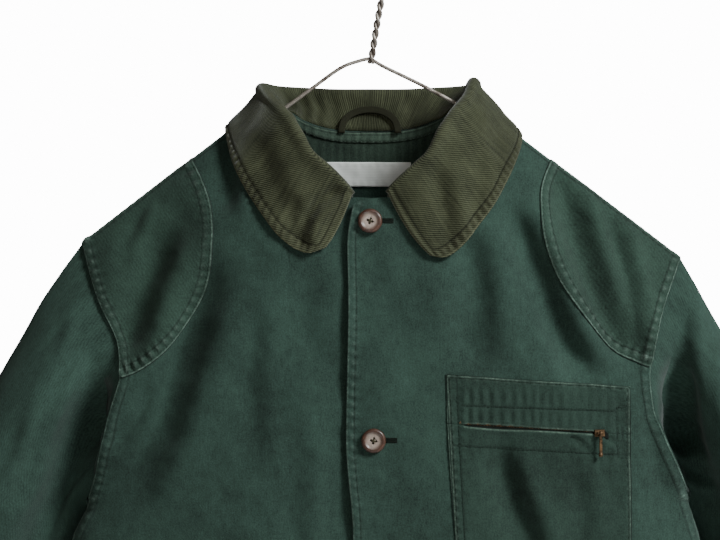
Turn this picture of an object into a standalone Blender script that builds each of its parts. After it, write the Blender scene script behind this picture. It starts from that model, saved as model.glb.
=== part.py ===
"""Hunting jacket on a wire hanger.

A canvas jacket with a corduroy collar, shoulder patches, four buttons and a chest pocket
with a zip, hanging on a twisted wire hanger. Every piece that is cut and sewn on is an
object of its own, with a wall of real thickness, about 0.3 mm clear of its neighbours.

Lengths are millimetres until MM turns them into metres. +Z is up, the front faces -Y and
+X is the wearer's left. The origin is the inner top of the hanger's hook, and the side
and shoulder seams lie in the plane Y = 0.
"""

from collections import namedtuple
from math import cos, pi, radians, sin

import bmesh
import bpy
import numpy as np
from mathutils import Matrix, Vector
from mathutils.bvhtree import BVHTree

MM = 0.001
RIGHT, LEFT = -1, 1  # the wearer's sides, the sign of X
FRONT, BACK = -1, 1  # the sign of Y

# ---------------------------------------------------------------- driving sizes
CANVAS = 1.5  # wall of the fronts, back and sleeves
CORDUROY = 2.2
PATCH = 1.2  # cloth sewn flat on a panel
SEAM = 0.3  # air between two pieces
HEM_Z = -919
NECK_X, NECK_Z = 85, -150  # where the shoulder seam meets the collar
COLLAR_START = (15, -240)  # where the collar starts, each side of the centre front
BACK_NECK_Z = -179
NECK_TWIST = 1.15  # more air under the collar where the shoulder seams turn the cloth's edge
SHOULDER = {RIGHT: (253, -279), LEFT: (273, -292)}
UNDERARM = {RIGHT: (246, -504), LEFT: (276, -496)}
SHOULDER_ROUND = 75  # drop over which the cloth rounds away from the shoulder seam
SHOULDER_POWER = 0.8
SECTION_POWER = 2.6  # squareness of the body's cross-section
LIFTED_SEAM = 1.4  # how much higher the shoulders of the form are for each mm of air round it
NECKLINE_POWERS = (1.15, 0.95)  # shape of the front neckline, across and down
UNDERLAP = (60, 20, 6)  # the right front sinks 6 mm under the left one from x 60 to 20

Width = namedtuple("Width", "z half_width")
HALF_WIDTHS = {
    RIGHT: [Width(-919, 267), Width(-600, 264), Width(-540, 261), Width(-522, 253),
            Width(-504, 246), Width(-475, 254), Width(-440, 262), Width(-250, 262)],
    LEFT: [Width(-919, 295), Width(-600, 293), Width(-540, 290), Width(-517, 283),
           Width(-496, 276), Width(-468, 281), Width(-430, 285), Width(-250, 285)],
}
Depth = namedtuple("Depth", "z front back")
DEPTHS = [Depth(-919, 61, 46), Depth(-600, 58, 45), Depth(-250, 56, 48)]

Armhole = namedtuple("Armhole", "z front_x back_x")
ARMHOLES = {
    RIGHT: [Armhole(-504, 246, 246), Armhole(-481, 241, 242), Armhole(-450, 233, 238),
            Armhole(-421, 225, 236), Armhole(-393, 217, 236), Armhole(-367, 221, 239),
            Armhole(-329, 237, 246), Armhole(-279, 253, 253)],
    LEFT: [Armhole(-496, 276, 276), Armhole(-473, 267, 270), Armhole(-450, 257, 263),
           Armhole(-422, 247, 258), Armhole(-396, 243, 257), Armhole(-372, 246, 259),
           Armhole(-339, 255, 265), Armhole(-292, 273, 273)],
}
Edge = namedtuple("Edge", "z x")
PLACKET_EDGE = [Edge(-919, -15), Edge(-533, -15), Edge(-448, -21), Edge(-328, -19),
                Edge(-281, -20), Edge(-247, -15), Edge(-240, -13)]
UNDERLAP_EDGE = [Edge(-919, 17), Edge(-240, 17)]

# A fold runs along its path in the front view; a trough has a positive depth. It fades
# out where the form is shallower than FOLD_FADE.
FOLD_FADE = 20
Fold = namedtuple("Fold", "width depth path")
FRONT_FOLDS = [
    Fold(17, 5, [(-164, -262), (-192, -305), (-203, -349)]),
    Fold(20, 7, [(-134, -319), (-147, -370), (-168, -435), (-192, -490)]),
    Fold(17, 5, [(183, -262), (205, -310), (219, -352)]),
    Fold(16, 5, [(130, -274), (152, -336), (187, -390)]),
    Fold(17, 4, [(92, -300), (101, -372)]),
    Fold(18, 5, [(112, -455), (124, -500), (133, -560)]),
    Fold(24, 8, [(-118, -560), (-104, -680), (-112, -800)]),
    Fold(26, 8, [(176, -640), (160, -760), (168, -870)]),
    Fold(30, -6, [(-190, -590), (-182, -740), (-190, -919)]),
]
BACK_FOLDS = [
    Fold(22, 6, [(-196, -300), (-150, -420), (-140, -520)]),
    Fold(22, 6, [(208, -310), (160, -410), (150, -530)]),
    Fold(28, 8, [(-78, -520), (-92, -700), (-84, -880)]),
    Fold(28, 8, [(96, -480), (84, -660), (92, -860)]),
    Fold(30, 6, [(4, -640), (-6, -800), (0, -919)]),
]
SLEEVE_FOLDS = [
    Fold(17, 9, [(-228, -366), (-253, -440), (-281, -515), (-300, -570)]),
    Fold(20, -5, [(-262, -320), (-290, -420), (-318, -505)]),
    Fold(24, 7, [(-360, -560), (-395, -650), (-420, -720)]),
    Fold(17, 8, [(252, -368), (268, -430), (296, -505), (322, -580)]),
    Fold(20, -5, [(283, -330), (309, -420), (332, -505)]),
    Fold(24, 7, [(382, -580), (418, -670), (440, -740)]),
]

# Rows of the panels: shares of the drop to the underarm, then of the rest to the hem.
UPPER_ROWS = [0, 0.012, 0.035, 0.075, 0.13, 0.2, 0.3, 0.42, 0.56, 0.7, 0.84, 0.93, 1]
LOWER_ROWS = [0.05, 0.12, 0.21, 0.32, 0.45, 0.6, 0.76, 0.9, 1]
SHOULDER_COLUMNS = 7
CLOSER_COLUMNS = 0.85  # power that draws them together towards the sleeve
LAP_COLUMNS = 2  # columns of a front inside the collar's start
LAP_TOPS = {RIGHT: -241, LEFT: -244}  # height of the front edges' upper corners

# One row of the sleeve tables is one section: its outer and inner point, how far the
# inner point hangs behind the side seam, and the cloth's depth to the front and back.
Section = namedtuple("Section", "outer_x outer_z inner_x inner_z inner_y front back blend")
SLEEVES = {
    RIGHT: [
        Section(262, -290, 253, -507, 3, 38, 36, 0.12),
        Section(281, -318, 251, -511, 14, 41, 40, 0.32),
        Section(303, -356, 252, -519, 21, 44, 43, 0.55),
        Section(328, -399, 253, -530, 27, 46, 46, 0.78),
        Section(353, -443, 256, -546, 32, 47, 48, 0.93),
        Section(379, -487, 264, -568, 34, 47, 48, 1),
        Section(403, -530, 282, -603, 32, 46, 46, 1),
        Section(438, -600, 319, -660, 27, 45, 44, 1),
        Section(468, -672, 350, -721, 22, 43, 42, 1),
        Section(492, -746, 376, -784, 18, 41, 40, 1),
        Section(509, -806, 395, -838, 16, 40, 39, 1),
        Section(516, -842, 403, -870, 15, 39, 38, 1),
    ],
    LEFT: [
        Section(281, -306, 283, -499, 3, 38, 36, 0.12),
        Section(298, -337, 280, -503, 15, 41, 40, 0.32),
        Section(320, -376, 279, -511, 23, 44, 43, 0.55),
        Section(345, -420, 279, -523, 33, 44, 47, 0.78),
        Section(371, -464, 283, -539, 39, 45, 49, 0.93),
        Section(397, -507, 290, -564, 40, 46, 49, 1),
        Section(421, -549, 302, -612, 35, 46, 46, 1),
        Section(455, -618, 337, -678, 27, 45, 44, 1),
        Section(485, -690, 368, -739, 22, 43, 42, 1),
        Section(509, -764, 394, -802, 18, 41, 40, 1),
        Section(526, -824, 413, -856, 16, 40, 39, 1),
        Section(533, -860, 421, -888, 15, 39, 38, 1),
    ],
}
SLEEVE_POWER = 2.2
UNDERARM_AIR = 0.5
FOLDS_EASE_IN = 2  # sections from the armhole to full folds

# Collar stations from the centre front round to the side of the neck. turn is the place
# on the neckline in degrees; the roll is the collar's top line; the edge is its outer
# line, lift clear of the body; radius is half the air in the roll; bow bends the station.
Station = namedtuple("Station", "turn roll_x roll_y roll_z edge_x edge_z lift radius bow")
COLLAR_FRONT = {
    RIGHT: [
        Station(0, 14, -47, -236.5, 38, -283, 4, 1.9, 5),
        Station(8, 20, -51, -228.5, 51, -288, 4, 2.4, 3),
        Station(16, 28, -54, -220, 61, -286, 4, 2.9, 1.5),
        Station(27, 38, -57, -211, 76, -276, 4, 3.5, 0),
        Station(40, 50, -57, -201, 93, -255, 4, 4, 0),
        Station(54, 60, -53, -184, 107, -235, 4, 4.5, 0),
        Station(67, 70, -43, -168, 117, -215, 4, 5, 0),
        Station(79, 85, -27, -153, 122.5, -197, 4, 5, 0),
    ],
    LEFT: [
        Station(0, 14, -51, -235.5, 51, -290, 4, 1.9, 5),
        Station(8, 20, -54, -228.5, 62, -292, 4, 2.4, 3),
        Station(16, 28, -56, -221, 72, -288, 4, 2.9, 1.5),
        Station(27, 38, -57, -212, 86, -274, 4, 3.5, 0),
        Station(40, 50, -57, -201, 100, -256, 4, 4, 0),
        Station(54, 60, -53, -182, 112, -238, 4, 4.5, 0),
        Station(67, 70, -43, -167, 122, -218, 4, 5, 0),
        Station(79, 84, -27, -151, 128.5, -201, 4, 5, 0),
    ],
}
COLLAR_SIDE = {
    RIGHT: Station(90, 97, -5, -141, 125, -178, 3, 5, 0),
    LEFT: Station(90, 92, -5, -135, 131, -182, 3, 5, 0),
}
# A station's stand ends in a half circle; its fall leaves the circle upwards by a share
# of its length, arrives at the edge from one, and clears the body by FALL_AIR.
STAND_STEPS = (0, 0.33, 0.67)
ROLL_DEGREES = (180, 135, 90, 45, 0)
FALL_STEPS = (0.15, 0.3, 0.45, 0.6, 0.75, 0.88, 1)
FALL_LEAVES, FALL_ARRIVES, FALL_ROUND = 0.16, 0.4, 0.05
FALL_AIR = 0.9
# The twist's extra air starts at this x of the neckline, grows over a run, and moves the
# neck edge inwards, and along the seam at its corner, by these shares of it.
TWIST_START, TWIST_RUN, TWIST_INWARD, TWIST_CORNER = 68, 10, 0.6, 1.3

# The same round the back, where turn is the place on the back neckline, as x.
COLLAR_BACK = [
    Station(78, 94, 13, -139, 113, -186, 5, 5, 0),
    Station(62, 84, 27, -140, 92, -192, 6, 5, 0),
    Station(40, 58, 35, -141, 62, -197, 7, 5, 0),
    Station(20, 30, 38, -142, 31, -199, 8, 5, 0),
    Station(0, 0, 38.5, -142, 0, -200, 8, 5, 0),
]

CUT_AIR = 0.05  # kept on top of SEAM where two facets meet at an angle
PATCH_PART = (slice(10, None), slice(0, 12))  # columns and rows of the front below a patch
PATCH_EDGES = {
    RIGHT: [(158, -200), (143, -229), (136, -255), (135, -277), (139, -311), (147, -333),
            (160, -354), (177, -373), (195, -387), (214, -396), (235, -397)],
    LEFT: [(160, -202), (149, -229), (147, -255), (152, -285), (165, -316), (188, -347),
           (210, -370), (231, -382), (242, -387), (262, -390)],
}
POCKET_CORNERS = [(65, -392), (224, -403), (225, -584), (75, -576)]
POCKET_RADII = (2, 2, 14, 14)
POCKET_PART = (slice(4, None), slice(5, 18))  # columns and rows of the front below it
POCKET_WALL = 1.4
ZIP_ENDS = ((77, -435), (202, -443))
ZIP_SLIT = 4.4
SLIDER_AT = (197, -442.7)
BUTTONS = [(0, -260.7), (3, -448.6), (3, -636.5), (2, -824.4)]
BUTTON_PROFILE = [(0, 0), (9.4, 0), (10.5, 1.6), (9.8, 3.6), (8.3, 4.2), (5.2, 2.9), (0, 2.7)]
BUTTON_HOLE, BUTTON_HOLES_AT = 1.1, 1.9  # radius of a hole, distance from the middle
BUTTON_AIR = 0.1  # on top of SEAM, under the flat back of a button or the slider

# The slider, in its own frame: Y up along the zip's cloth and Z out of it.
SLIDER = ((9, 6, 2), (0, 0, 1))  # size and middle
BAIL_POST = (1.2, 1.6, 4)
BAIL_POST_X, BAIL_POST_Z = 2.4, 3.4
BAIL_OUT = 4.8  # the bail's bar, out from the slider's back
BAIL_BAR = 0.55  # radius
PULL_LENGTH = 20
PULL_STRIP = [(-0.7, -0.9), (-0.35, -1.25), (0.35, -1.25), (0.7, -0.9),
              (0.7, 0.9), (0.35, 1.25), (-0.35, 1.25), (-0.7, 0.9)]
PULL_STRIP_TOP = -1.6
PULL_EYE = [(0, -0.95), (1.8, -0.95), (2.05, -0.6), (2.05, 0.6), (1.8, 0.95), (0, 0.95)]
PULL_HOLE = 1.0  # radius
PULL_KNOB = [(0, -2.2), (1.5, -1.7), (2.1, 0), (1.5, 1.7), (0, 2.2)]
PULL_KNOB_AT = 1.5  # above the pull's lower end

FACING = [(-84, -150), (-76, -186), (-58, -209), (-30, -223), (0, -227), (32, -223),
          (60, -208), (77, -186), (84, -150)]
TAPE_HEIGHT = 10
FACING_RIM = (81, 0.5)  # half width of its top edge, and how far below the neckline it is
LABEL_CORNERS = [(-42, -206), (37, -206), (37, -228), (-42, -228)]
NECK_COLUMNS, NECK_ROWS = 7, slice(0, 9)  # of the back, each side of its middle, inside the neck
INNER_CLOTH = 0.8
LOOP_SPAN, LOOP_RISE, LOOP_STRAP = 50, 21, (6, 1.6)
LOOP_FOOT, LOOP_LEAN = (24.0, -181), 0.14  # y and z of its ends; how far it leans back
LOOP_ARCH = 0.8  # power that makes its top flat

WIRE = 1.65  # radius
HOOK = 20  # inner radius
HANGER_END_X = 200
HANGER_CORNER = 10
WIRE_BELOW_SEAM = 5.0
HOOK_DEGREES = (-20, -5, 206)  # where the neck joins it, and its first and last turn
NECK_FOOT = (1, -121)
NECK_LEAVES, NECK_JOINS = (4.2, 30), (8.5, 23.5)  # the neck's directions at its two ends
TWIST_PITCH = 17
TWIST_TOP, TWIST_FADE = -56, 10
TWIST_WAIST = 0.95  # least half width of the two twisted wires together, in wire radii
ARM_STARTS = {RIGHT: [(0, -117), (9, -119), (26, -125.5), (52.5, -144.5), (77, -162.5)],
              LEFT: [(2, -118), (13, -124.5), (44, -139.5), (77, -157)]}

CUTTER_FRONT = (-120, -2)  # y that a cutter through a front reaches
CUTTER_BACK = (0, 90)
CUTTER_PATCH = (-120, 20)
PATCH_CUTTER_CORNER = (330, -150)  # beyond the armhole and the shoulder seam


# ---------------------------------------------------------------- small mathematics
def smooth_through(x, rows, key, value):
    """A monotone cubic through a short table sorted by key."""
    xs = np.array([getattr(row, key) for row in rows], float)
    ys = np.array([getattr(row, value) for row in rows], float)
    slope = np.diff(ys) / np.diff(xs)
    tangent = np.zeros(len(xs))
    tangent[0], tangent[-1] = slope[0], slope[-1]
    product = slope[:-1] * slope[1:]
    safe = np.where(product > 0, slope[:-1] + slope[1:], 1)
    tangent[1:-1] = np.where(product > 0, 2 * product / safe, 0)
    x = np.clip(np.asarray(x, float), xs[0], xs[-1])
    i = np.clip(np.searchsorted(xs, x, side="right") - 1, 0, len(xs) - 2)
    width = xs[i + 1] - xs[i]
    t = (x - xs[i]) / width
    return (
        (2 * t**3 - 3 * t**2 + 1) * ys[i]
        + (t**3 - 2 * t**2 + t) * width * tangent[i]
        + (3 * t**2 - 2 * t**3) * ys[i + 1]
        + (t**3 - t**2) * width * tangent[i + 1]
    )


def eased(t):
    t = np.clip(t, 0, 1)
    return t * t * (3 - 2 * t)


def unit(v):
    return v / np.maximum(np.linalg.norm(v, axis=-1, keepdims=True), 1e-9)


def rounded_outline(corners, radii, steps=4):
    """A closed outline with an arc at each corner."""
    points = []
    for i, (corner, radius) in enumerate(zip(corners, radii)):
        here = np.array(corner, float)
        before = unit(np.array(corners[i - 1], float) - here)
        after = unit(np.array(corners[(i + 1) % len(corners)], float) - here)
        for step in range(steps + 1):
            t = step / steps
            points.append(here + radius * ((1 - t) ** 2 * before + t**2 * after))
    return np.array(points)


def curve_through(knots, per_span=4):
    """A Catmull-Rom curve through knots, open."""
    knots = np.array(knots, float)
    ends = np.vstack([2 * knots[0] - knots[1], knots, 2 * knots[-1] - knots[-2]])
    points = []
    for p0, p1, p2, p3 in zip(ends, ends[1:], ends[2:], ends[3:]):
        for t in np.arange(per_span) / per_span:
            points.append(0.5 * (2 * p1 + (p2 - p0) * t + (2 * p0 - 5 * p1 + 4 * p2 - p3) * t**2
                                 + (3 * p1 - p0 - 3 * p2 + p3) * t**3))
    points.append(knots[-1])
    return np.array(points)


# ---------------------------------------------------------------- objects
def material(name, colour, roughness, metallic=0.0):
    made = bpy.data.materials.new(name)
    made.use_nodes = True
    shader = made.node_tree.nodes["Principled BSDF"]
    shader.inputs["Base Color"].default_value = (*colour, 1)
    shader.inputs["Roughness"].default_value = roughness
    shader.inputs["Metallic"].default_value = metallic
    return made


def add_object(name, points, faces, finish):
    """A mesh object from points in millimetres; its faces are turned to look outwards."""
    points = np.asarray(points, float)
    corners = points[np.array(faces)]
    volume = np.einsum("ij,ij->", corners[:, 0], np.cross(corners[:, 1], corners[:, 2]))
    faces = np.array(faces) if volume > 0 else np.array(faces)[:, ::-1]
    mesh = bpy.data.meshes.new(name)
    mesh.from_pydata((points * MM).tolist(), [], faces.tolist())
    mesh.validate()
    added = bpy.data.objects.new(name, mesh)
    bpy.context.scene.collection.objects.link(added)
    if finish:
        mesh.materials.append(finish)
    return added


def grid_faces(rows, columns, offset=0, wrap_rows=False):
    """Triangles over a grid of points numbered row by row."""
    faces = []
    for i in range(rows if wrap_rows else rows - 1):
        for j in range(columns - 1):
            a = offset + i * columns + j
            b = offset + ((i + 1) % rows) * columns + j
            faces += [(a, b, b + 1), (a, b + 1, a + 1)]
    return faces


def shell(name, surface, inner, outer, finish, closed=False):
    """A closed wall between two offsets of a surface, measured outwards along its normals."""
    points, normals = surface
    rows, columns = points.shape[:2]
    layers = np.concatenate([(points + normals * outer).reshape(-1, 3),
                             (points + normals * inner).reshape(-1, 3)])
    count = rows * columns
    faces = grid_faces(rows, columns, 0, closed)
    faces += [(c, b, a) for a, b, c in grid_faces(rows, columns, count, closed)]
    numbers = np.arange(count).reshape(rows, columns)
    if closed:
        rims = [np.append(numbers[:, 0], numbers[0, 0]),
                np.append(numbers[:, -1], numbers[0, -1])[::-1]]
    else:
        rims = [np.concatenate([numbers[:-1, 0], numbers[-1, :-1],
                                numbers[:0:-1, -1], numbers[0, ::-1]])]
    for rim in rims:
        for a, b in zip(rim[:-1], rim[1:]):
            faces += [(b, a, a + count), (b, a + count, b + count)]
    return add_object(name, layers, faces, finish)


def prism(name, outline, y_low, y_high):
    """A cutter: an outline in the front view, pushed along Y."""
    outline = np.asarray(outline, float)
    builder = bmesh.new()
    ends = []
    for y in (y_low, y_high):
        ends.append([builder.verts.new((x * MM, y * MM, z * MM)) for x, z in outline])
    near, far = ends
    builder.faces.new(near)
    builder.faces.new(far[::-1])
    for i in range(len(near)):
        j = (i + 1) % len(near)
        builder.faces.new((near[j], near[i], far[i], far[j]))
    bmesh.ops.recalc_face_normals(builder, faces=builder.faces)
    mesh = bpy.data.meshes.new(name)
    builder.to_mesh(mesh)
    builder.free()
    cutter = bpy.data.objects.new(name, mesh)
    bpy.context.scene.collection.objects.link(cutter)
    return as_cutter(cutter)


def as_cutter(added):
    added.hide_render = True
    added.display_type = "WIRE"
    return added


def combine(added, other, operation):
    step = added.modifiers.new(operation.title(), "BOOLEAN")
    step.operation = operation
    step.solver = "EXACT"
    step.object = other
    return added


def circle(radius, sides):
    angles = np.arange(sides) * 2 * pi / sides
    return [(radius * cos(a), radius * sin(a)) for a in angles]


def sweep(name, path, outline, finish):
    """A solid swept along a path; outline is its section, or a function of the point."""
    path = np.asarray(path, float)
    along = unit(np.gradient(path, axis=0))
    level = (0, 1, 0) if abs(along[0][1]) < 0.9 else (1, 0, 0)
    across = unit(np.cross(along[0], level))
    points = []
    for i, (point, direction) in enumerate(zip(path, along)):
        across = unit(across - direction * np.dot(across, direction))
        third = np.cross(direction, across)
        section = outline(i) if callable(outline) else outline
        points += [point + a * across + b * third for a, b in section]
    count, sides = len(path), len(section)
    numbers = np.arange(count * sides).reshape(count, sides)
    faces = []
    for i in range(count - 1):
        for k in range(sides):
            n = (k + 1) % sides
            faces += [(numbers[i, k], numbers[i, n], numbers[i + 1, n]),
                      (numbers[i, k], numbers[i + 1, n], numbers[i + 1, k])]
    first, last = len(points), len(points) + 1
    points += [path[0], path[-1]]
    for k in range(sides):
        n = (k + 1) % sides
        faces.append((first, numbers[0, n], numbers[0, k]))
        faces.append((last, numbers[-1, k], numbers[-1, n]))
    return add_object(name, points, faces, finish)


def lathe(name, profile, segments, finish):
    """A turned solid round +Z; the profile runs from axis to axis."""
    points = [(0, 0, profile[0][1]), (0, 0, profile[-1][1])]
    middle = profile[1:-1]
    for radius, height in middle:
        for k in range(segments):
            angle = 2 * pi * k / segments
            points.append((radius * cos(angle), radius * sin(angle), height))
    faces = []
    for k in range(segments):
        n = (k + 1) % segments
        faces.append((0, 2 + n, 2 + k))
        last = 2 + (len(middle) - 1) * segments
        faces.append((1, last + k, last + n))
        for i in range(len(middle) - 1):
            a, b = 2 + i * segments + k, 2 + i * segments + n
            faces += [(a, b, b + segments), (a, b + segments, a + segments)]
    return add_object(name, points, faces, finish)


# ---------------------------------------------------------------- the body's form
def by_side(x, rows_of, z, key, value):
    right = smooth_through(z, rows_of[RIGHT], key, value)
    left = smooth_through(z, rows_of[LEFT], key, value)
    return np.where(np.asarray(x) < 0, right, left)


def shoulder_slope(side):
    x, z = SHOULDER[side]
    return (NECK_Z - z) / (x - NECK_X)


def seam_height(x):
    """Height of the shoulder seams, run on across the neck as a smooth crown."""
    outward = np.abs(x)
    slope = np.where(np.asarray(x) < 0, shoulder_slope(RIGHT), shoulder_slope(LEFT))
    crown_slope = (shoulder_slope(RIGHT) + shoulder_slope(LEFT)) / 2
    crown = NECK_Z + crown_slope * NECK_X / 2 * (1 - (outward / NECK_X) ** 2)
    return np.where(outward > NECK_X, NECK_Z - slope * (outward - NECK_X), crown)


def form_depth(x, z, face, lift=0.0):
    """How far the form stands in front of or behind the seams; lift is air around it."""
    drop = np.maximum(seam_height(x) + LIFTED_SEAM * lift - z, 0)
    rounding = (1 - np.exp(-drop / SHOULDER_ROUND)) ** SHOULDER_POWER
    share = np.minimum(np.abs(x) / (by_side(x, HALF_WIDTHS, z, "z", "half_width") + lift), 1)
    section = (1 - share**SECTION_POWER) ** (1 / SECTION_POWER)
    full = smooth_through(z, DEPTHS, "z", "front" if face == FRONT else "back")
    return (full + lift) * rounding * section


def fold_depth(x, z, folds):
    """The depth of the hand-placed folds at a point of the front view."""
    total = np.zeros(np.shape(x))
    for fold in folds:
        near = np.full(np.shape(x), 1e9)
        for (x0, z0), (x1, z1) in zip(fold.path, fold.path[1:]):
            length = (x1 - x0) ** 2 + (z1 - z0) ** 2
            t = np.clip(((x - x0) * (x1 - x0) + (z - z0) * (z1 - z0)) / length, 0, 1)
            near = np.minimum(near, np.hypot(x - x0 - t * (x1 - x0), z - z0 - t * (z1 - z0)))
        total = total + fold.depth * np.exp(-((near / fold.width) ** 2))
    return total


def front_neckline(turn):
    """The front neckline at a turn of 0 degrees, the centre, to 90, the side of the neck."""
    angle = np.radians(turn)
    start_x, start_z = COLLAR_START
    across, down = NECKLINE_POWERS
    return (start_x + (NECK_X - start_x) * np.sin(angle) ** across,
            start_z + (NECK_Z - start_z) * (1 - np.cos(angle)) ** down)


def back_neckline(outward):
    return BACK_NECK_Z + (NECK_Z - BACK_NECK_Z) * (outward / NECK_X) ** 3


def shoulder_run(side):
    """Places along the shoulder seam, closer together towards the sleeve."""
    share = np.sin(np.linspace(0, pi / 2, SHOULDER_COLUMNS + 1)[1:]) ** CLOSER_COLUMNS
    return NECK_X + (SHOULDER[side][0] - NECK_X) * share


def row_shares(side):
    """Shares of the drop from the top of the side column to the hem."""
    reach = (UNDERARM[side][1] - SHOULDER[side][1]) / (HEM_Z - SHOULDER[side][1])
    upper = [reach * share for share in UPPER_ROWS]
    return np.array(upper + [reach + (1 - reach) * share for share in LOWER_ROWS])


def side_x(side, z, face):
    """The panel's outer boundary: the armhole, then the side seam."""
    value = "front_x" if face == FRONT else "back_x"
    armhole = smooth_through(z, ARMHOLES[side], "z", value)
    seam = smooth_through(z, HALF_WIDTHS[side], "z", "half_width")
    return np.where(z >= UNDERARM[side][1] - 1e-6, armhole, seam)


def front_y(side, x, z):
    """The front panel's outer surface; the right front sinks where it laps under."""
    depth = form_depth(x, z, FRONT)
    y = -depth + np.minimum(depth / FOLD_FADE, 1) * fold_depth(x, z, FRONT_FOLDS)
    if side == RIGHT:
        start, full, sink = UNDERLAP
        y = y + sink * eased((start - side * x) / (start - full))
    return y


def back_y(x, z):
    depth = form_depth(x, z, BACK)
    return depth - np.minimum(depth / FOLD_FADE, 1) * fold_depth(x, z, BACK_FOLDS)


def with_normals(height, x, z, face):
    """Points of a surface y = height(x, z), and its unit normals out of the garment."""
    points = np.stack([x, height(x, z), z], axis=-1)
    slope_x = (height(x + 1, z) - height(x - 1, z)) / 2
    slope_z = (height(x, z + 1) - height(x, z - 1)) / 2
    normals = -face * np.stack([slope_x, np.full(x.shape, -1.0), slope_z], axis=-1)
    return points, unit(normals)


def settle_seams(points, normals, on_seam, face):
    """Seam points lie just beside the plane Y = 0, with their normals in it."""
    points[on_seam, 1] = face * SEAM / 2
    normals[on_seam, 1] = 0
    normals[on_seam] = unit(normals[on_seam])
    return points, normals


def front_surface(side):
    """Grid of a front, columns from the centre to the side, rows from the top to the hem."""
    turns = [station.turn for station in COLLAR_FRONT[side]] + [90]
    neck_x, neck_z = front_neckline(np.array(turns))
    edges = PLACKET_EDGE if side == LEFT else UNDERLAP_EDGE
    lap_z = np.array([LAP_TOPS[side], COLLAR_START[1]])
    edge_top = float(smooth_through(lap_z[0], edges, "z", "x")) * side
    lap_x = np.array([edge_top, (edge_top + neck_x[0]) / 2])
    run_x = shoulder_run(side)
    top_x = np.concatenate([lap_x, neck_x, run_x])
    top_z = np.concatenate([lap_z, neck_z, seam_height(side * run_x)])
    share = (top_x - edge_top) / (SHOULDER[side][0] - edge_top)
    rows = row_shares(side)
    z = top_z[:, None] + rows[None, :] * (HEM_Z - top_z[:, None])
    edge = smooth_through(z[0], edges, "z", "x") * side
    outer = side_x(side, z[-1], FRONT)
    x = edge[None, :] + share[:, None] * (outer - edge)[None, :]
    points, normals = with_normals(lambda x, z: front_y(side, x, z), side * x, z, FRONT)
    on_seam = np.zeros(x.shape, bool)
    on_seam[len(top_x) - len(run_x) - 1:, 0] = True
    on_seam[-1, len(UPPER_ROWS) - 1:] = True
    return settle_seams(points, normals, on_seam, FRONT)


def back_surface():
    """Grid of the back, columns from the wearer's right to left."""
    neck_x = np.array([station.turn for station in COLLAR_BACK], float)
    top_x = np.concatenate([-shoulder_run(RIGHT)[::-1], [-NECK_X], -neck_x,
                            neck_x[-2::-1], [NECK_X], shoulder_run(LEFT)])
    outward = np.abs(top_x)
    top_z = np.where(outward < NECK_X, back_neckline(outward), seam_height(top_x))
    to_left = eased((top_x + NECK_X) / (2 * NECK_X))[:, None]
    rows = ((1 - to_left) * row_shares(RIGHT)[None, :]
            + to_left * row_shares(LEFT)[None, :])
    z = top_z[:, None] + rows * (HEM_Z - top_z[:, None])
    right = side_x(RIGHT, z[0], BACK) / SHOULDER[RIGHT][0]
    left = side_x(LEFT, z[-1], BACK) / SHOULDER[LEFT][0]
    x = top_x[:, None] * np.where(top_x[:, None] < 0, right[None, :], left[None, :])
    points, normals = with_normals(back_y, x, z, BACK)
    on_seam = np.zeros(x.shape, bool)
    on_seam[outward >= NECK_X, 0] = True
    on_seam[[0, -1], len(UPPER_ROWS) - 1:] = True
    return settle_seams(points, normals, on_seam, BACK)


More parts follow.
